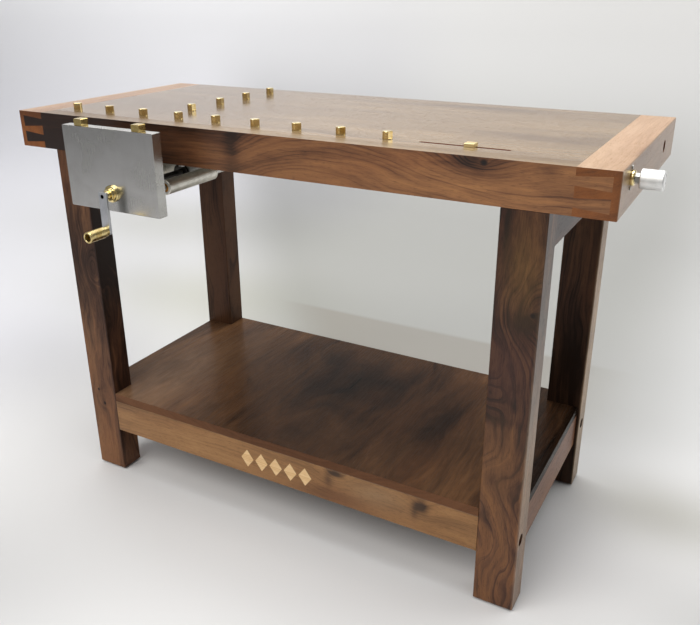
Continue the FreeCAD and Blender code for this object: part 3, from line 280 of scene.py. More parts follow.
def wood(name, rough, specular, upper=None, cut=None, **look):
    """A wood under satin oil: duller in its pores, with a relief of pores and raised fibres. Where its upper face
    goes on from a neighbour, upper gives that neighbour's look; cut gives a slot's place, reach and wall colour."""
    made, tree, shader = blank(name)
    coordinates = add(tree, "TexCoord")
    colour, pores, fibres = wood_look(tree, coordinates, **look)
    if upper or cut:
        rise = add(tree, "SeparateXYZ", {0: coordinates.outputs["Normal"]}).outputs[2]
    if upper:
        other = wood_look(tree, coordinates, **upper)[0]
        colour = blend(tree, spread(tree, rise, 0.6, 0.8), colour, other)
    if cut:
        spot, size, tone = cut
        near = spread(tree, nearness(tree, coordinates.outputs["Object"], spot, size), 0.05, 0.2)
        colour = blend(tree, times(tree, near, spread(tree, rise, 0.6, 0.4)), colour, rgb(tone))
    tree.links.new(colour, shader.inputs["Base Color"])
    gloss = plus(tree, times(tree, pores, PORE_ROUGHNESS), times(tree, fibres, FIBRE_ROUGHNESS))
    tree.links.new(plus(tree, gloss, rough - 0.05), shader.inputs["Roughness"])
    shader.inputs["IOR"].default_value = 1.5
    shader.inputs["Specular IOR Level"].default_value = specular
    bumped(tree, shader, minus(tree, times(tree, fibres, 0.5), pores), PORE_DEPTH)
    return made


# ---------------------------------------------------------------- metals and plastics

TOOL_RING_DEPTH, HAIR_LINE_DEPTH, MOULD_GRAIN_DEPTH = 0.000012, 0.00001, 0.00003  # in metres


def shade_metal(tree, shader, share, tones, roughness, lines, depth):
    """Metal of two tones mixed by a share, with the tool's lines as a relief. What the marks add to the roughness
    on average comes off first, so rough is about the mean."""
    tree.links.new(blend(tree, share, rgb(tones[0]), rgb(tones[1])), shader.inputs["Base Color"])
    shader.inputs["Metallic"].default_value = 1.0
    tree.links.new(roughness, shader.inputs["Roughness"])
    bumped(tree, shader, lines, depth)


def turned_metal(name, colour, worn, rough, groove=0.55):
    """Metal cut on a lathe: fine rings left by the tool, one for each groove's width in millimetres along the
    profile, and softer worn patches. The mesh carries the distance along its profile, in metres, as turning."""
    made, tree, shader = blank(name)
    run = add(tree, "Attribute", attribute_name="turning").outputs["Fac"]
    ring = add(tree, "TexNoise", {"W": math_node(tree, "DIVIDE", run, groove * MM), "Scale": 1.0, "Detail": 3.0},
               noise_dimensions="1D").outputs["Fac"]
    patch = noise(tree, scaled(tree, object_place(tree), (60, 60, 60)), detail=3.0)["Fac"]
    sheen = plus(tree, times(tree, ring, 0.1), times(tree, patch, 0.12))
    shade_metal(tree, shader, spread(tree, patch, 0.4, 0.7), (colour, worn), plus(tree, sheen, rough - 0.1), ring,
                TOOL_RING_DEPTH)
    return made


def sanded_metal(name, colour, worn, rough, lay, depth=HAIR_LINE_DEPTH, patch_size=28, hairs=0.5):
    """Flat metal rubbed with abrasive in one direction: hair lines along the rubbing and cloudy patches. Lay gives
    the cells per metre along each axis, and hairs the hair lines' share in colour and sheen."""
    made, tree, shader = blank(name)
    place = object_place(tree)
    hair = noise(tree, scaled(tree, place, lay), detail=4.0, roughness=0.7)["Fac"]
    patch = noise(tree, scaled(tree, place, (patch_size,) * 3), detail=3.0, distortion=0.5)["Fac"]
    both = plus(tree, times(tree, hair, hairs), times(tree, patch, 1 - hairs))
    sheen = plus(tree, times(tree, hair, 0.28 * hairs), times(tree, patch, 0.16))
    shade_metal(tree, shader, spread(tree, both, 0.35, 0.65), (colour, worn), plus(tree, sheen, rough - 0.15), hair,
                depth)
    return made


def moulded_nylon(name, colour, worn):
    """Moulded nylon: dull, with a fine grain from the mould."""
    made, tree, shader = blank(name)
    grain = noise(tree, scaled(tree, object_place(tree), (1500, 1500, 1500)), detail=2.0)["Fac"]
    tree.links.new(blend(tree, grain, rgb(colour), rgb(worn)), shader.inputs["Base Color"])
    shader.inputs["Roughness"].default_value = 0.6
    bumped(tree, shader, grain, MOULD_GRAIN_DEPTH)
    return made


# ---------------------------------------------------------------- surfaces

SEAM, SLIVER = 2e-6, 1e-7  # points closer than a seam are one point; edges shorter than a sliver go, in metres
BAR_COLUMNS, THREAD_STEP = 40, 0.45  # points round a threaded bar, and the millimetres between its rows


def mesh_of(name, points, around=True, loop=False):
    """A mesh from a grid of points: faces between rows and columns; around joins the last column to the first,
    and loop joins the last row to the first. Rows that shrink to a point close to a pole."""
    rows, columns = points.shape[:2]
    index = np.arange(rows * columns).reshape(rows, columns)
    if around:
        index = np.concatenate([index, index[:, :1]], 1)
    if loop:
        index = np.concatenate([index, index[:1]], 0)
    faces = np.stack([index[:-1, :-1], index[:-1, 1:], index[1:, 1:], index[1:, :-1]], -1).reshape(-1, 4)
    mesh = bpy.data.meshes.new(name)
    mesh.from_pydata(points.reshape(-1, 3).tolist(), [], faces.tolist())
    return mesh


def set_turning(mesh, run):
    """Keeps at every point how far along the profile it lies, for the rings of turned metal."""
    mesh.attributes.new("turning", "FLOAT", "POINT").data.foreach_set("value", run)


def close_up(mesh):
    """Merges seams and poles and turns the faces outwards."""
    work = bmesh.new()
    work.from_mesh(mesh)
    bmesh.ops.remove_doubles(work, verts=work.verts, dist=SEAM)
    bmesh.ops.dissolve_degenerate(work, dist=SLIVER, edges=work.edges)
    bmesh.ops.recalc_face_normals(work, faces=work.faces)
    work.to_mesh(mesh)
    work.free()


def placed(name, data):
    """A new object in the scene, with its origin at the frame's."""
    made = bpy.data.objects.new(name, data)
    bpy.context.scene.collection.objects.link(made)
    return made


def finish_piece(name, mesh, body, material, sharp=32, replaced=()):
    """Closes a piece, shades it and hands it to its body."""
    close_up(mesh)
    mesh.shade_smooth()
    mesh.set_sharp_from_angle(angle=math.radians(sharp))
    mesh.materials.append(material)
    piece = placed(name, mesh)
    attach(piece, body)
    if replaced:
        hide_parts(*replaced)
    return piece


def round_angles(count):
    """Evenly spaced angles of a whole turn."""
    return np.linspace(0, 2 * math.pi, count, endpoint=False)


def round_points(radius, angle, height):
    """Points round local +Z: x = r cos a, y = r sin a, z = h."""
    x = radius * np.cos(angle)
    return np.stack([x, radius * np.sin(angle), np.broadcast_to(height, x.shape)], -1)


def along_axis(points, base, axis):
    """Stands points made round local +Z on a base point, with local +Z turned to -Y, +X or left at +Z."""
    x, y, z = points[..., 0], points[..., 1], points[..., 2]
    turned = {"-Y": (x, -z, y), "+X": (z, y, -x), "+Z": (x, y, z)}[axis]
    return np.stack(turned, -1) + np.asarray(base)


def join_meshes(name, meshes):
    """One mesh out of several, with their points and their turning values."""
    points, faces, turns, start = [], [], [], 0
    for mesh in meshes:
        count = len(mesh.vertices)
        place = np.zeros(count * 3)
        mesh.vertices.foreach_get("co", place)
        points.append(place.reshape(-1, 3))
        faces += [[start + i for i in face.vertices] for face in mesh.polygons]
        run = np.zeros(count)
        mesh.attributes["turning"].data.foreach_get("value", run)
        turns.append(run)
        start += count
    whole = bpy.data.meshes.new(name)
    whole.from_pydata(np.concatenate(points).tolist(), [], faces)
    set_turning(whole, np.concatenate(turns))
    return whole


def rounded(profile, edge, loop, steps=3):
    """A profile whose inner corners are rounded: each corner gives way to a short curve between its two sides."""
    corners = np.asarray(profile, float)
    count = len(corners)
    made = []
    for i in range(count):
        if not loop and i in (0, count - 1):
            made.append(corners[i])
            continue
        before, here, after = corners[i - 1], corners[i], corners[(i + 1) % count]
        arms = [before - here, after - here]
        reach = min([edge] + [0.45 * np.linalg.norm(arm) for arm in arms])
        start, end = (here + arm / np.linalg.norm(arm) * reach for arm in arms)
        for t in np.linspace(0, 1, steps + 1):
            made.append((1 - t) ** 2 * start + 2 * t * (1 - t) * here + t ** 2 * end)
    return np.array(made)


def lathe(name, profile, base, axis, edge, segments, loop=False):
    """A profile of (radius, height) pairs in millimetres carried round an axis: x = r cos a, y = r sin a, z = h.
    Its corners are rounded over edge millimetres. The mesh keeps how far along the profile each point lies."""
    line = rounded(profile, edge, loop) * MM
    points = round_points(line[:, :1], round_angles(segments), line[:, 1:])
    mesh = mesh_of(name, along_axis(points, base, axis), loop=loop)
    run = np.concatenate([[0], np.cumsum(np.linalg.norm(np.diff(line, axis=0), axis=1))])
    set_turning(mesh, np.repeat(run, segments))
    return mesh


# ---------------------------------------------------------------- finishes of this bench

FRONT, TOP, SHELF = -0.198, 0.915, 0.22  # y of the front faces, z of the top's upper face and of the shelf
ANY = 1.0  # a spread so wide that a mark does not end along that axis


def on_front(x, z, wide, high, *what):
    """A mark on the front faces at x, z with its spread along both; what it does there comes last."""
    return ((x, FRONT, z), (wide, ANY, high), *what)


def on_level(height, x, y, wide, long, *what):
    """A mark on a level face at x, y with its spread along both; what it does there comes last."""
    return ((x, y, height), (wide, long, ANY), *what)


def knot(x, z, wide, deep, high, lift, dark=0.0):
    """A knot in a front face: its spread, how many rings it lifts the figure by, and how dark its heart is."""
    return ((x, FRONT, z), (wide, deep, high), lift, dark)


# slab: walnut staves under satin oil, mid brown with faint long figure
SLAB_LOOK = dict(
    grain="X", heart=(-0.02, 0.80), tones=("#9d825f", "#80684a", "#634b32", "#442f1d"),
    end=("#6b452c", "#4a2e1c"), ring=9, wander=0.9, line=0.06, contrast=0.50, fibre=0.30,
    mottle=0.15, staves=0.118, blush=0.0,
    shades=(on_level(TOP, 0.22, 0.30, 0.16, 0.025, 0.25), on_level(TOP, -0.36, 0.15, 0.20, 0.03, 0.15),
            on_level(TOP, 0.50, 0.0, 0.2, 0.05, 0.12), on_level(TOP, -0.55, 0.0, 0.35, 0.35, 0.38)),
    tints=(on_level(TOP, -0.55, 0.0, 0.35, 0.5, "#6a5234", 0.35),))
# the walls of the tail vise's slot are fresh reddish wood
slab_walnut = wood(
    "oiled_walnut_slab", rough=0.17, specular=0.34,
    cut=((0.358, -0.1237, 0.90), (0.10, 0.01, 0.03), "#6e2c1a"), **SLAB_LOOK)
# apron: figured walnut, nearly black-brown to the left of a crotch, golden to its right, with a small knot
apron_walnut = wood(
    "oiled_figured_walnut_apron", rough=0.30, specular=0.38, upper=SLAB_LOOK, grain="X",
    heart=(-0.215, 0.66), tones=("#ad7a4a", "#8b5f3c", "#5d3b26", "#1c1009"),
    end=("#6b4427", "#3c2414"), ring=8, wander=0.7, curl=1.6, line=0.18, contrast=0.68,
    fibre=0.35, mottle=0.50, blush=0.18,
    crotches=((-0.095, 0.12, 6.0),), waves=((0.06, 0.24, -8.0),),
    knots=(knot(0.422, 0.907, 0.07, 0.08, 0.035, 4.0),
           knot(0.422, 0.9065, 0.010, 0.02, 0.0085, 1.0, 1.0),
           knot(0.400, 0.9105, 0.018, 0.04, 0.010, 1.0, 0.35)),
    shades=(on_front(-0.60, 0.88, 0.46, 0.3, 0.60), on_front(-0.096, 0.86, 0.020, 0.07, 0.38),
            on_front(0.395, 0.905, 0.05, 0.03, 0.30), on_front(0.20, 0.915, 0.12, 0.02, 0.2),
            on_front(0.535, 0.906, 0.022, 0.012, 0.3)),
    tints=(on_front(0.02, 0.83, 0.22, 0.05, "#8f5f38", 0.4),
           on_front(-0.62, 0.88, 0.50, 0.3, "#22140c", 0.82)))
# end caps: straight-grained light cabinet wood, deep orange-brown on its end grain
cap_wood = wood(
    "oiled_end_cap_wood", rough=0.3, specular=0.35, grain="Y", heart=(0.3, 1.4),
    tones=("#cab092", "#bc9b7a", "#a68260", "#8b6749"), end=("#864f24", "#573015"), ring=5,
    wander=0.5, line=0.1, contrast=0.6, fibre=0.45, blush=0.12,
    shades=(((-0.67, 0.08, TOP), (0.1, ANY, 0.02), 0.45), ((0.645, 0.08, 0.88), (0.01, ANY, 0.2), 0.2),
            ((0.645, -0.02, 0.90), (0.01, 0.10, 0.02), 0.4),
            ((0.645, 0.17, 0.86), (0.01, 0.12, 0.02), 0.35)),
    tints=(((0.646, 0.08, 0.875), (0.003, ANY, 0.5), "#7d6853", 0.75),))


def leg_walnut(side, heart, tones, specular=0.26, **marks):
    """Legs: walnut with a twisting figure, reddish brown under satin oil."""
    marks = {"ring": 8, "wander": 0.9, "curl": 2.0, "blush": 0.28, "mottle": 0.5, **marks}
    return wood(f"oiled_walnut_leg_{side}", rough=0.36, specular=specular, grain="Z", heart=heart, tones=tones,
                end=("#4c2c1c", "#2c190f"), fibre=0.35, contrast=1.0, **marks)


# the front right leg has knots with rings flowing round them, and a right side painted pale tan, a painted
# reflection of the room
leg_fr = leg_walnut(
    "front_right", (0.42, -0.30), ("#875c36", "#5b3c27", "#371f16", "#170c08"), line=0.5,
    mottle=0.7, blush=0.2,
    knots=(knot(0.526, 0.6515, 0.06, 0.08, 0.06, 5.0),
           knot(0.526, 0.6515, 0.0075, 0.02, 0.0075, 1.0, 0.8),
           knot(0.461, 0.486, 0.028, 0.08, 0.035, 3.0),
           knot(0.461, 0.486, 0.005, 0.02, 0.007, 0.0, 0.5),
           knot(0.475, 0.298, 0.035, 0.08, 0.05, 3.5), knot(0.50, 0.14, 0.05, 0.08, 0.06, -2.0)),
    shades=(on_front(0.515, 0.632, 0.030, 0.018, 0.45), on_front(0.435, 0.72, 0.012, 0.08, 0.35),
            on_front(0.470, 0.78, 0.006, 0.06, 0.35), on_front(0.48, 0.72, 0.08, 0.16, 0.34),
            on_front(0.49, 0.45, 0.08, 0.14, 0.22), on_front(0.480, 0.432, 0.045, 0.010, 0.30),
            on_front(0.445, 0.66, 0.018, 0.05, 0.2), on_front(0.460, 0.215, 0.022, 0.02, 0.35)),
    tints=(on_front(0.505, 0.73, 0.035, 0.10, "#7a5a2e", 0.35),
           on_front(0.487, 0.55, 0.055, 0.07, "#452a22", 0.6),
           on_front(0.48, 0.33, 0.06, 0.10, "#76502f", 0.45),
           on_front(0.48, 0.08, 0.08, 0.12, "#6f4a32", 0.4),
           # painted reflection: the right face laid over with pale tan
           ((0.541, -0.17, 0.25), (0.004, 0.2, 0.35), "#bda58c", 0.75)))
# the front left leg has two pin knots above its foot; painted shade darkens its upper front under the vise and its
# right face, and it is painted lighter towards its foot
leg_fl = leg_walnut(
    "front_left", (-0.66, -0.28), ("#86603f", "#684932", "#422c1f", "#21140d"),
    specular=0.15, line=0.12, curl=3.0,
    knots=(knot(-0.5635, 0.2247, 0.0055, 0.02, 0.0055, 1.0, 1.0),
           knot(-0.548, 0.188, 0.0065, 0.02, 0.0075, 1.0, 1.0),
           knot(-0.558, 0.20, 0.02, 0.05, 0.03, 3.0),
           knot(-0.535, 0.565, 0.030, 0.06, 0.045, 5.0)),
    shades=(on_front(-0.60, 0.56, 0.02, 0.05, 0.3), on_front(-0.552, 0.19, 0.012, 0.03, 0.25),
            # painted shade on the upper front under the vise; lighter towards the foot
            on_front(-0.57, 0.60, 0.08, 0.13, 0.42), on_front(-0.55, 0.03, 0.08, 0.10, -0.35),
            # painted shade on the right face
            ((-0.505, -0.15, 0.40), (0.006, ANY, 2.0), 0.45)))
# the back legs: walnut given darker tones as painted shade under the top, with more painted shade low on the right
# leg, less low on the left leg, and a pale right side that is a painted reflection
leg_back = leg_walnut(
    # painted shade: darker tones than the front legs' walnut
    "back", (0.02, 0.36), ("#563b28", "#3d291c", "#2b1c13", "#190f09"),
    specular=0.12, line=0.4,
    # painted shade low on the right leg, lifted low on the left leg
    shades=(((0.48, 0.3, 0.30), (0.1, 0.1, 0.18), 0.6),
            ((-0.55, 0.29, 0.35), (0.08, 0.1, 0.35), -0.5)),
    # painted reflection on the right face
    tints=(((0.541, 0.31, 0.35), (0.004, 0.2, 0.6), "#cfb395", 0.95),))
# rails: plainer, lighter walnut with a few dark knots, and a painted shadow line under the shelf's edge
rail_walnut = wood(
    "oiled_walnut_rail", rough=0.36, specular=0.3, grain="X", heart=(-0.25, 0.0),
    tones=("#aa8052", "#906840", "#6b4b2d", "#352214"), end=("#6b452c", "#4a2e1c"), ring=9,
    wander=0.9, curl=1.5, line=0.12, contrast=0.42, fibre=0.3, mottle=0.4, blush=0.12,
    knots=(knot(0.130, 0.199, 0.04, 0.08, 0.03, 3.0), knot(0.331, 0.185, 0.04, 0.08, 0.03, 3.0)),
    shades=(on_front(0.130, 0.199, 0.018, 0.009, 0.75), on_front(0.112, 0.178, 0.010, 0.022, 0.35),
            on_front(0.333, 0.184, 0.014, 0.014, 0.8), on_front(0.318, 0.170, 0.008, 0.02, 0.4),
            on_front(-0.030, 0.214, 0.016, 0.008, 0.5), on_front(0.10, 0.135, 0.10, 0.02, 0.25),
            # the second mark here is a painted shadow: a thin dark line along the rail's top edge, under the shelf
            on_front(-0.40, 0.20, 0.15, 0.02, 0.2), on_front(0.0, 0.2065, 9.0, 0.0013, 0.8),
            on_front(-0.35, 0.17, 0.28, 0.08, -0.14)),
    tints=(on_front(0.14, 0.140, 0.11, 0.025, "#6e4126", 0.5),
           on_front(0.23, 0.175, 0.07, 0.03, "#8d7052", 0.6)))
# side rails: brown walnut, with painted shade on the right top rail, which lies in the shadow of the top
side_walnut = wood(
    "oiled_walnut_side_rail", rough=0.36, specular=0.25, grain="Y", heart=(0.4, 0.1),
    tones=("#93683f", "#7a5438", "#5a3a26", "#2e1c12"), end=("#5f3a22", "#3c2414"), ring=8,
    wander=0.9, line=0.2, contrast=0.5, fibre=0.4, blush=0.3,
    # painted shade on the right top rail
    shades=(((0.50, 0.0, 0.80), (0.1, ANY, 0.06), 0.75),))
# shelf: dark walnut with long cloudy streaks from front to back, painted shade at its right end and a painted sheen
# towards its left
shelf_walnut = wood(
    "oiled_walnut_shelf", rough=0.27, specular=0.045, grain="Y", heart=(0.0, 0.95),
    tones=("#7c5839", "#553b27", "#352418", "#170f09"), end=("#6d4b35", "#4b3224"), ring=9,
    wander=0.8, curl=0.7, line=0.08, contrast=0.75, fibre=0.40, mottle=0.22, blush=0.15,
    shades=(on_level(SHELF, 0.0, 0.08, 0.03, 0.15, 0.12),
            on_level(SHELF, 0.27, 0.05, 0.04, 0.12, 0.35),
            on_level(SHELF, -0.02, 0.20, 0.05, 0.12, 0.1),
            # painted shade at the shelf's right end, by the legs
            on_level(SHELF, 0.53, 0.10, 0.07, 0.6, 0.6)),
    # painted sheen towards the shelf's left
    tints=(on_level(SHELF, -0.45, -0.05, 0.12, 0.3, "#8d7058", 0.6),))
# inlay: maple, pale and close-grained
inlay_maple = wood(
    "oiled_maple_inlay", rough=0.35, specular=0.35, grain="X", heart=(-0.3, 0.3),
    tones=("#f0d3a5", "#e3bf8c", "#cfa26b", "#b98a55"), end=("#c0925c", "#a87a45"), ring=3,
    wander=0.5, line=0.3, contrast=0.5, fibre=0.4, blush=0.0)

# hair lines that stand upright, and marks without a direction, in cells per metre
UPRIGHT, EVERY_WAY = (40, 40, 900), (300, 300, 300)

# brass: turned and polished, yellow with browner patches where it has been handled
brass = turned_metal("turned_brass", "#ebd9a2", "#d9c080", rough=0.11)
# the grip is duller, since it is held
grip_brass = turned_metal("satin_turned_brass", "#dcc88f", "#c4ab6c", rough=0.27)
# the jaw's square dogs are sanded, so their sides show soft upright hair lines
square_brass = sanded_metal("sanded_brass", "#dbc484", "#c2a764", rough=0.24, lay=UPRIGHT)
# the tail vise's dog is scoured paler and duller than the rest
dull_brass = sanded_metal("scoured_brass", "#f5e6b6", "#e6d296", rough=0.38, lay=UPRIGHT)
# jaw plate: machined aluminium rubbed to a satin, with cloudy patches
plate_aluminium = sanded_metal("satin_aluminium_plate", "#bebdb9", "#b3b2ad", rough=0.30,
                               lay=(700, 9, 12), depth=0.0000015, patch_size=14, hairs=0.2)
# crank arm: sanded along its length, a cool grey with a soft streaked shine
arm_aluminium = sanded_metal("sanded_aluminium_arm", "#c2c4c6", "#adafb1", rough=0.34, lay=(900, 30, 30))
# bracket: sawn and sanded aluminium, dull and a little warm
bracket_aluminium = sanded_metal("sanded_aluminium_bracket", "#bdbbb4", "#a8a69f", rough=0.4, lay=(20, 20, 900))
# guide tubes: drawn tube, even and satin
tube_metal = turned_metal("drawn_tube", "#e2dfd6", "#d2cfc5", rough=0.42, groove=3.0)
# rods and the tail screw: ground bar with a clear bright streak
rod_steel = turned_metal("ground_steel_bar", "#c4c3c0", "#b0afab", rough=0.2, groove=2.0)
# screw, collar and nut of the front vise: blacked steel, nearly black with a soft shine
dark_steel = turned_metal("blacked_steel", "#3b3936", "#2a2826", rough=0.42, groove=0.8)
# bushes: turned bronze, browner than brass
bronze = turned_metal("turned_bronze", "#a9793f", "#8e6230", rough=0.3)
# knob: turned aluminium, pale with fine matt rings
knob_aluminium = turned_metal("turned_aluminium_knob", "#e9e9e7", "#d9d9d7", rough=0.52, groove=0.7)
# screws and cross nuts: zinc plating, grey and cloudy
zinc = sanded_metal("zinc_plated_steel", "#b4b4b2", "#96968f", rough=0.38, lay=EVERY_WAY)
# bolts: blacked socket heads, dark in their counterbores
socket_steel = sanded_metal("blacked_socket_screw", "#2c2b2a", "#201f1e", rough=0.4, lay=EVERY_WAY)
# foot glides: nylon, almost black and without a clear shine
nylon = moulded_nylon("nylon_foot_glide", "#2a2725", "#3a3532")

# the finish of every solid; all others are turned brass
FINISHES = (
    (slab_walnut, "top_slab"), (apron_walnut, "front_apron"), (cap_wood, "end_cap_left end_cap_right"),
    (leg_fl, "leg_front_left"), (leg_fr, "leg_front_right"), (leg_back, "leg_back_left leg_back_right"),
    (side_walnut, "top_rail_left top_rail_right side_rail_left side_rail_right"),
    (rail_walnut, "front_rail back_rail"), (inlay_maple, "rail_inlay"), (shelf_walnut, "shelf"),
    (socket_steel, "frame_bolts crank_screw"), (nylon, "foot_glides"), (bronze, "guide_bushes tail_far_bearing"),
    (zinc, "barrel_nuts coach_screws tail_lock_screws tail_lock_nut"), (plate_aluminium, "jaw_plate"),
    (bracket_aluminium, "vise_mount_plate vise_carrier"), (tube_metal, "guide_tubes tail_guide_tube"),
    (dark_steel, "vise_nut lead_screw thrust_collar"), (rod_steel, "guide_rods grip_pin tail_screw"),
    (arm_aluminium, "crank_arm"), (knob_aluminium, "tail_knob"), (square_brass, "vise_dog_left vise_dog_right"),
    (dull_brass, "tail_dog"),
)
finish_of = {node_name: material for material, names in FINISHES for node_name in names.split()}
for node_name, node in nodes.items():
    node.data.materials.clear()
    node.data.materials.append(finish_of.get(node_name, brass))

# ---------------------------------------------------------------- pieces finished in the scene


def middle(node):
    """The middle of a solid's box, in metres."""
    low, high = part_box(node)
    return (np.asarray(low) + np.asarray(high)) / 2


def corner(node, which):
    """The lowest (0) or highest (1) corner of a solid's box, in metres."""
    return np.asarray(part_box(node)[which], float)


def place_of(node, y=None, z=None, x=None):
    """The middle of a solid's box with some of its three numbers given."""
    return tuple(own if given is None else given for own, given in zip(middle(node), (x, y, z)))


def rear_of(node):
    """The middle of a solid's rear end."""
    return place_of(node, y=corner(node, 1)[1])


def milled_dog(node, body, degrees, radius=9.5, length=74.0, proud=14.5, chamfer=0.8, flat_depth=2.5, ledge=1.5):
    """A turned brass dog with a flat milled on its head. At height h and angle a the radius is R less the chamfer c
    near either end; above the ledge it is the smaller of that and (R - depth - c) / cos(a - turn)."""
    corner_angle = math.acos((radius - flat_depth) / radius)
    turn = -math.radians(degrees)
    flat_columns, round_columns, least_cosine = 11, 49, 0.05
    angle = np.concatenate([np.linspace(-corner_angle, corner_angle, flat_columns)[:-1],
                            np.linspace(corner_angle, 2 * math.pi - corner_angle, round_columns)[:-1]])
    foot = proud - length
    # the height of each row of points, how far it lies inside the full radius, and whether the flat cuts it
    rows = [(foot, radius, False), (foot, chamfer, False), (foot + chamfer, 0, False), (ledge, 0, False),
            (ledge, 0, True), (proud - chamfer, 0, True), (proud - 0.25, 0.3, True), (proud, chamfer, True),
            (proud, radius, True)]
    heights, inset, cut = (np.array(column)[:, None] for column in zip(*rows))
    facing = np.cos(angle) > least_cosine
    round_part = radius - inset
    flat_part = (radius - flat_depth - inset) / np.maximum(np.cos(angle), least_cosine)
    reach = np.where(cut & facing, np.minimum(round_part, flat_part), round_part)
    points = round_points(np.maximum(reach, 0) * MM, angle + turn, heights * MM)
    top = corner(node, 1)[2] - proud * MM
    mesh = mesh_of(node + "_milled", along_axis(points, place_of(node, z=top), "+Z"))
    run = np.concatenate([[0], np.cumsum(np.abs(np.diff(heights[:, 0])) + np.abs(np.diff(inset[:, 0])))]) * MM
    set_turning(mesh, np.repeat(run, len(angle)))
    finish_piece(node + "_milled", mesh, body, brass, sharp=25, replaced=[node])


def thread(start, end, root, crest, lead, starts=1, reach=2.2, slope=6.5, run_out=2.0):
    """A screw thread from height start to end: the radius is the root plus a trapezium wave of the height times the
    starts over the lead, less the angle's share of a turn, and it runs down to the root at both ends."""
    heights = np.arange(start, end + THREAD_STEP / 2, THREAD_STEP)[:, None]
    angle = round_angles(BAR_COLUMNS)[None, :]
    wave = (heights * starts / lead - starts * angle / (2 * math.pi)) % 1.0
    ridge = np.clip(reach - np.abs(wave - 0.5) * slope, 0, 1)
    ends = np.clip(np.minimum(heights - start, end - heights) / run_out, 0, 1)
    return round_points(root + (crest - root) * ridge * ends, angle, heights)


def plain_rings(profile):
    """Rings of points for a profile of radius and height pairs, to go before or after a thread."""
    pairs = np.asarray(profile, float)
    return round_points(pairs[:, :1], round_angles(BAR_COLUMNS), pairs[:, 1:])


def threaded_bar(name, before, run, after, base, axis, body, material, replaced):
    """A bar made of plain rings, a thread and plain rings again."""
    points = np.concatenate([plain_rings(before), run, plain_rings(after)], 0) * MM
    mesh = mesh_of(name, along_axis(points, base, axis))
    set_turning(mesh, np.repeat(np.arange(len(points)) * THREAD_STEP * MM, BAR_COLUMNS))
    finish_piece(name, mesh, body, material, sharp=40, replaced=replaced)


def turned_piece(node, profile, base, axis, body, material, edge=0.5):
    """One lathe piece that stands for one solid."""
    mesh = lathe(node + "_turned", profile, base, axis, edge, segments=72, loop=True)
    finish_piece(node + "_turned", mesh, body, material, replaced=[node])


def make_front_vise():
    """The turned pieces of the front vise: bearing, sleeve, collar, nut, tubes, rods, screw and grip. Heights are
    measured from each piece's rear end, the nut's from behind its flange and the screw's from the plate's face."""
    spot = rear_of("screw_flange")
    face = spot[1]
    turned_piece("screw_flange", [(6.05, 0), (18, 0), (18, 4.2), (17.2, 5.6), (14.2, 6), (13.4, 6.4), (13, 7.4),
                                  (13, 12), (12.2, 13), (6.05, 13)], spot, "-Y", "jaw", brass)
    turned_piece("spindle_sleeve", [(6, 0), (8.5, 0), (8.5, 3.2), (7.9, 3.7), (7.9, 4.3), (8.5, 4.8), (8.5, 10),
                                    (6, 10)],
                 rear_of("spindle_sleeve"), "-Y", "crank", brass, edge=0.4)
    turned_piece("thrust_collar", [(6, 0), (13, 0), (13, 8), (6, 8)],
                 rear_of("thrust_collar"), "-Y", "crank", dark_steel, edge=0.7)
    turned_piece("vise_nut", [(8.05, 6), (20, 6), (20, 0), (15, 0), (15, -30), (8.05, -30)],
                 place_of("vise_nut", y=corner("vise_nut", 0)[1] + 6 * MM), "-Y", "bench",
                 dark_steel, edge=0.7)

    low, high = corner("guide_tubes", 0), corner("guide_tubes", 1)
    radius = (high[2] - low[2]) / 2
    length = (high[1] - low[1]) / MM
    sides = (low[0] + radius, high[0] - radius)
    height = (low[2] + high[2]) / 2
    profile = [(10, 0), (15, 0), (16, 1), (16, length - 1), (15, length), (10, length)]
    tubes = [lathe("tube", profile, (x, high[1], height), "-Y", edge=0.6, segments=80, loop=True)
             for x in sides]
    finish_piece("guide_tubes_turned", join_meshes("guide_tubes", tubes), "bench", tube_metal,
                 replaced=["guide_tubes"])
    low, high = corner("guide_rods", 0), corner("guide_rods", 1)
    length = (high[1] - low[1]) / MM
    profile = [(0, 0), (5, 0), (6, 1), (6, length), (0, length)]
    rods = [lathe("rod", profile, (x, high[1], height), "-Y", edge=0.3, segments=56) for x in sides]
    finish_piece("guide_rods_turned", join_meshes("guide_rods", rods), "jaw", rod_steel,
                 replaced=["guide_rods"])

    end = (corner("lead_screw", 1)[1] - face) / MM
    nose = (face - corner("lead_screw", 0)[1]) / MM
    threaded_bar("lead_screw_threaded", [(0, -end), (5.6, -end), (6.8, 1.4 - end)],
                 thread(start=2 - end, end=-36.0, root=6.9, crest=8.0, lead=8.0, starts=2),
                 [(7.9, -35.5), (7.9, -33.3), (6, -33.3), (6, nose - 0.5), (5.5, nose), (4.5, nose),
                  (4.5, nose - 11), (0, nose - 11)],
                 spot, "-Y", "crank", dark_steel, ["lead_screw"])
    turned_piece("crank_grip", [(4.05, 0), (10.2, 0), (10.5, 0.5), (10.5, 7), (10.1, 7.6), (10.1, 8.4), (11, 9.2),
                                (11.8, 10), (11.8, 46), (12, 47), (12, 49.4), (11.4, 51), (10.4, 51.5),
                                (8.6, 51.5), (8, 50.6), (8, 23.5), (4.05, 23.5)],
                 rear_of("crank_grip"), "-Y", "grip", grip_brass, edge=0.35)


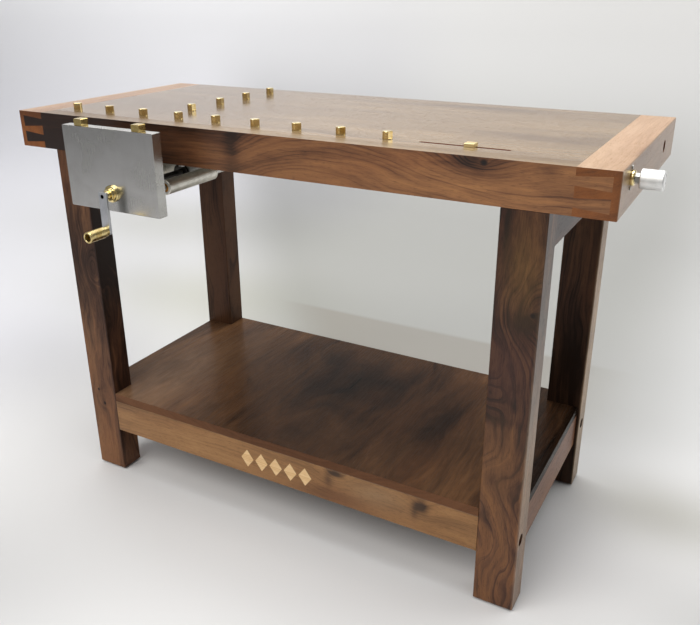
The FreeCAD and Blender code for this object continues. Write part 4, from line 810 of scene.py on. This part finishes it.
def make_tail_vise():
    """The turned pieces of the tail vise: flanged bearing, screw and knob with its ring of tommy holes. The flange
    stands 7 mm out of the end cap's face, from which the heights are measured."""
    face = corner("tail_flange", 1)[0] - 7 * MM
    spot = place_of("tail_flange", x=face)
    turned_piece("tail_flange", [(6.05, -20), (10, -20), (10, 0), (13, 0), (13, 5), (12, 7), (9.6, 7), (9.2, 6.2),
                                 (6.05, 6.2)], spot, "+X", "bench", brass)
    far = (corner("tail_screw", 0)[0] - face) / MM
    near = (corner("tail_screw", 1)[0] - face) / MM
    threaded_bar("tail_screw_threaded",
                 [(0, far), (4, far), (4.5, far + 0.5), (4.5, far + 11.3), (5.1, far + 11.3)],
                 thread(start=far + 11.8, end=-27.0, root=5.1, crest=6.0, lead=-5.0),
                 [(5.95, -26.5), (5.95, -25.3), (8.5, -25.3), (8.5, -20.3), (6, -20.3), (6, near), (0, near)],
                 spot, "+X", "tail_spindle", rod_steel, ["tail_screw"])
    inner = (corner("tail_knob", 0)[0] - face) / MM
    outer = (corner("tail_knob", 1)[0] - face) / MM
    knob = lathe("tail_knob", [(6, inner), (15, inner), (16.5, inner + 1.5), (16.5, outer - 1.6),
                               (15.2, outer - 0.2), (14.8, outer), (14.4, outer - 0.4), (0, outer - 0.4),
                               (0, inner + 25), (6, inner + 25)], spot, "+X", edge=0.6, segments=96, loop=True)
    made = finish_piece("tail_knob_turned", knob, "tail_spindle", knob_aluminium,
                        replaced=["tail_knob"])
    holes, ring, hole, depth = 6, 12 * MM, 2.75, 8
    for number in range(holes):
        angle = math.radians(360 / holes * number + 90)
        drill = lathe("drill", [(0, outer - depth), (hole, outer - depth), (hole, outer + 2), (0, outer + 2)],
                      np.asarray(spot) + (0, ring * math.cos(angle), ring * math.sin(angle)), "+X",
                      edge=0.01, segments=24)
        bore_with(made, drill)


def bore_with(piece, drill):
    """Takes one closed mesh out of a piece for good."""
    close_up(drill)
    tool = placed("drill", drill)
    cut = piece.modifiers.new("bore", "BOOLEAN")
    cut.operation, cut.solver, cut.object = "DIFFERENCE", "EXACT", tool
    whole = bpy.data.meshes.new_from_object(piece.evaluated_get(bpy.context.evaluated_depsgraph_get()))
    piece.modifiers.clear()
    piece.data = whole
    bpy.data.objects.remove(tool)


def make_glides():
    """Four nylon foot glides: a disc with a rolled lower edge on a pin in the leg's end."""
    profile = [(0, 0), (14.5, 0), (16.6, 1.2), (17, 2.4), (16.6, 3.6), (15.5, 4), (3, 4), (3, 26), (0, 26)]
    glides = [lathe("glide", profile, place_of("leg_" + leg, z=0.0), "+Z", edge=0.5, segments=56)
              for leg in ("front_left", "front_right", "back_left", "back_right")]
    finish_piece("foot_glides_moulded", join_meshes("foot_glides", glides), "bench", nylon,
                 replaced=["foot_glides"])


# how far each dog's flat is turned from +X, in degrees
for row_name, turns in (("dog", (55, 37, 30, 19, 20, 32, 35, 30, 14)), ("cross_dog", (5, -5, 0, 3))):
    for number, degrees in enumerate(turns, 1):
        milled_dog(f"{row_name}_{number}", f"{row_name}_{number}_body", degrees)
make_front_vise()
make_tail_vise()
make_glides()

# ---------------------------------------------------------------- stage, light and camera


def sweep(reach=9.0, start=2.4, cove=0.9, height=6.0):
    """Floor and backdrop in one sheet: flat, then a quarter circle of 0.9 m up into an upright wall behind."""
    turn = np.linspace(0, math.pi / 2, 24)[1:]
    y = np.concatenate([[-reach, start], start + cove * np.sin(turn), [start + cove]])
    z = np.concatenate([[0.0, 0.0], cove - cove * np.cos(turn), [height]])
    x = np.array([-reach, reach])
    points = np.stack(np.broadcast_arrays(x[None, :], y[:, None], z[:, None]), -1)
    mesh = mesh_of("backdrop", points, around=False)
    mesh.shade_smooth()
    mesh.materials.append(backdrop_with_painted_shade())
    piece = placed("backdrop", mesh)


def backdrop_with_painted_shade():
    """Matt paint, pale grey, with painted shade: a greyer field behind the bench where its shadow falls, a brownish
    strip of painted shadow across that field, faint grey patches of painted shade on the floor round the bench, the
    floor greyer to the left, and a wall painted lighter to the left and greyer to the right as painted light."""
    made, tree, shader = blank("backdrop_painted_light_and_shade")
    place = object_place(tree)
    x, y, z = add(tree, "SeparateXYZ", {0: place}).outputs
    left_edge = vector_node(tree, "DOT_PRODUCT", place, (0.804, 0.595, 0.0))["Value"]
    # painted shade: a greyer field behind the bench, where its shadow falls
    painted_shade = times(tree, spread(tree, left_edge, -0.50, 0.08), spread(tree, x, 1.15, 0.32),
                spread(tree, y, 0.15, 0.75), spread(tree, y, 3.1, 1.6, 0.85, 1.0), spread(tree, z, 1.1, 0.1))
    colour = blend(tree, times(tree, painted_shade, 0.66), rgb("#e6e6e6"), rgb("#77776e"))
    # painted shadow: a brownish strip across that field, up to where the floor meets the wall
    painted_shadow_band = times(tree, spread(tree, y, 0.42, 0.62), spread(tree, y, 1.0, 0.97),
                 spread(tree, left_edge, -0.10, 0.15), spread(tree, x, 0.62, 0.25))
    colour = blend(tree, times(tree, painted_shadow_band, 0.42), colour, rgb("#867c6e"))
    # painted shade: faint grey patches on the floor round the bench
    for at_x, at_y, wide, long, tone in ((0.76, 0.28, 0.22, 0.14, "#d2d1cb"), (-0.55, -0.75, 0.35, 0.3, "#d9d9d9"),
                                         (0.95, -0.05, 0.2, 0.15, "#e0e0df"), (-1.1, 0.25, 0.45, 0.4, "#dededf"),
                                         (-1.15, 0.85, 0.6, 0.35, "#dcdcd2"), (-1.9, 1.6, 0.7, 0.5, "#e4e4dc")):
        spot, size = on_level(0.0, at_x, at_y, wide, long)
        colour = blend(tree, nearness(tree, place, spot, size), colour, rgb(tone), "MULTIPLY")
    # painted shade: the floor greyer and a little bluer to the left
    colour = blend(tree, spread(tree, x, -0.8, -1.6), colour, rgb("#f0f0f5"), "MULTIPLY")
    # painted light: the wall lighter to the left and greyer to the right
    wall = blend(tree, spread(tree, x, -3.8, 0.2), rgb("#fbfbfb"), rgb("#dddcda"))
    colour = blend(tree, spread(tree, z, 0.0, 1.6), colour, wall)
    tree.links.new(colour, shader.inputs["Base Color"])
    shader.inputs["Roughness"].default_value = 0.75
    return made


def lamp(name, place, target, size, power, colour="#ffffff"):
    """A soft rectangular lamp that points at a target: its width and height in metres, its power in watts."""
    data = bpy.data.lights.new(name, "AREA")
    data.shape = "RECTANGLE"
    data.size, data.size_y = size
    data.energy = power
    data.color = rgb(colour)[:3]
    made = placed(name, data)
    made.location = place
    made.rotation_euler = (Vector(target) - Vector(place)).to_track_quat("-Z", "Y").to_euler()


def light_the_room():
    """An even pale room, with one large soft lamp in front and to the left, above eye level. Past the backdrop the
    camera sees the room as bright as the floor."""
    lighting, seen_as = 0.27, 0.80
    world = bpy.data.worlds.new("studio")
    bpy.context.scene.world = world
    world.use_nodes = True
    tree = world.node_tree
    tree.nodes.clear()
    seen = add(tree, "LightPath").outputs["Is Camera Ray"]
    sky = add(tree, "Background", {"Color": rgb("#f2f3f5"),
                                   "Strength": spread(tree, seen, 0.0, 1.0, lighting, seen_as)})
    add(tree, "OutputWorld", {"Surface": sky.outputs[0]})
    lamp("key", (-1.0, -2.9, 3.4), (0, 0, 0.5), (3.4, 2.4), 112, "#fffcf8")
    lamp("top", (0.3, 0.4, 3.4), (0, 0, 0.6), (2.6, 2.6), 92)
    lamp("wall", (-3.4, 1.2, 3.8), (-3.6, 3.3, 1.6), (5.0, 0.9), 82)
    lamp("window", (3.2, 1.9, 1.3), (0.5, 0, 0.5), (1.8, 1.8), 20)


def set_camera(place=(0.84305, -1.42593, 1.18745), yaw=0.508232, pitch=-0.387006, roll=0.006479):
    """A camera in front of the bench, to its right and above it; the angles are in radians."""
    data = bpy.data.cameras.new("camera")
    data.sensor_width = 36.0
    data.lens = 40.135
    data.shift_x = 0.00607
    data.shift_y = -0.02094
    data.clip_start, data.clip_end = 0.05, 60.0
    made = placed("camera", data)
    turn = Matrix.Rotation(yaw, 3, "Z") @ Matrix.Rotation(pitch, 3, "X") @ Matrix.Rotation(roll, 3, "Y")
    look = Matrix((turn.col[0], turn.col[2], -turn.col[1])).transposed().to_4x4()
    made.matrix_world = Matrix.Translation(place) @ look
    bpy.context.scene.camera = made


sweep()
light_the_room()
set_camera()

bpy.context.scene.view_settings.view_transform = "Standard"
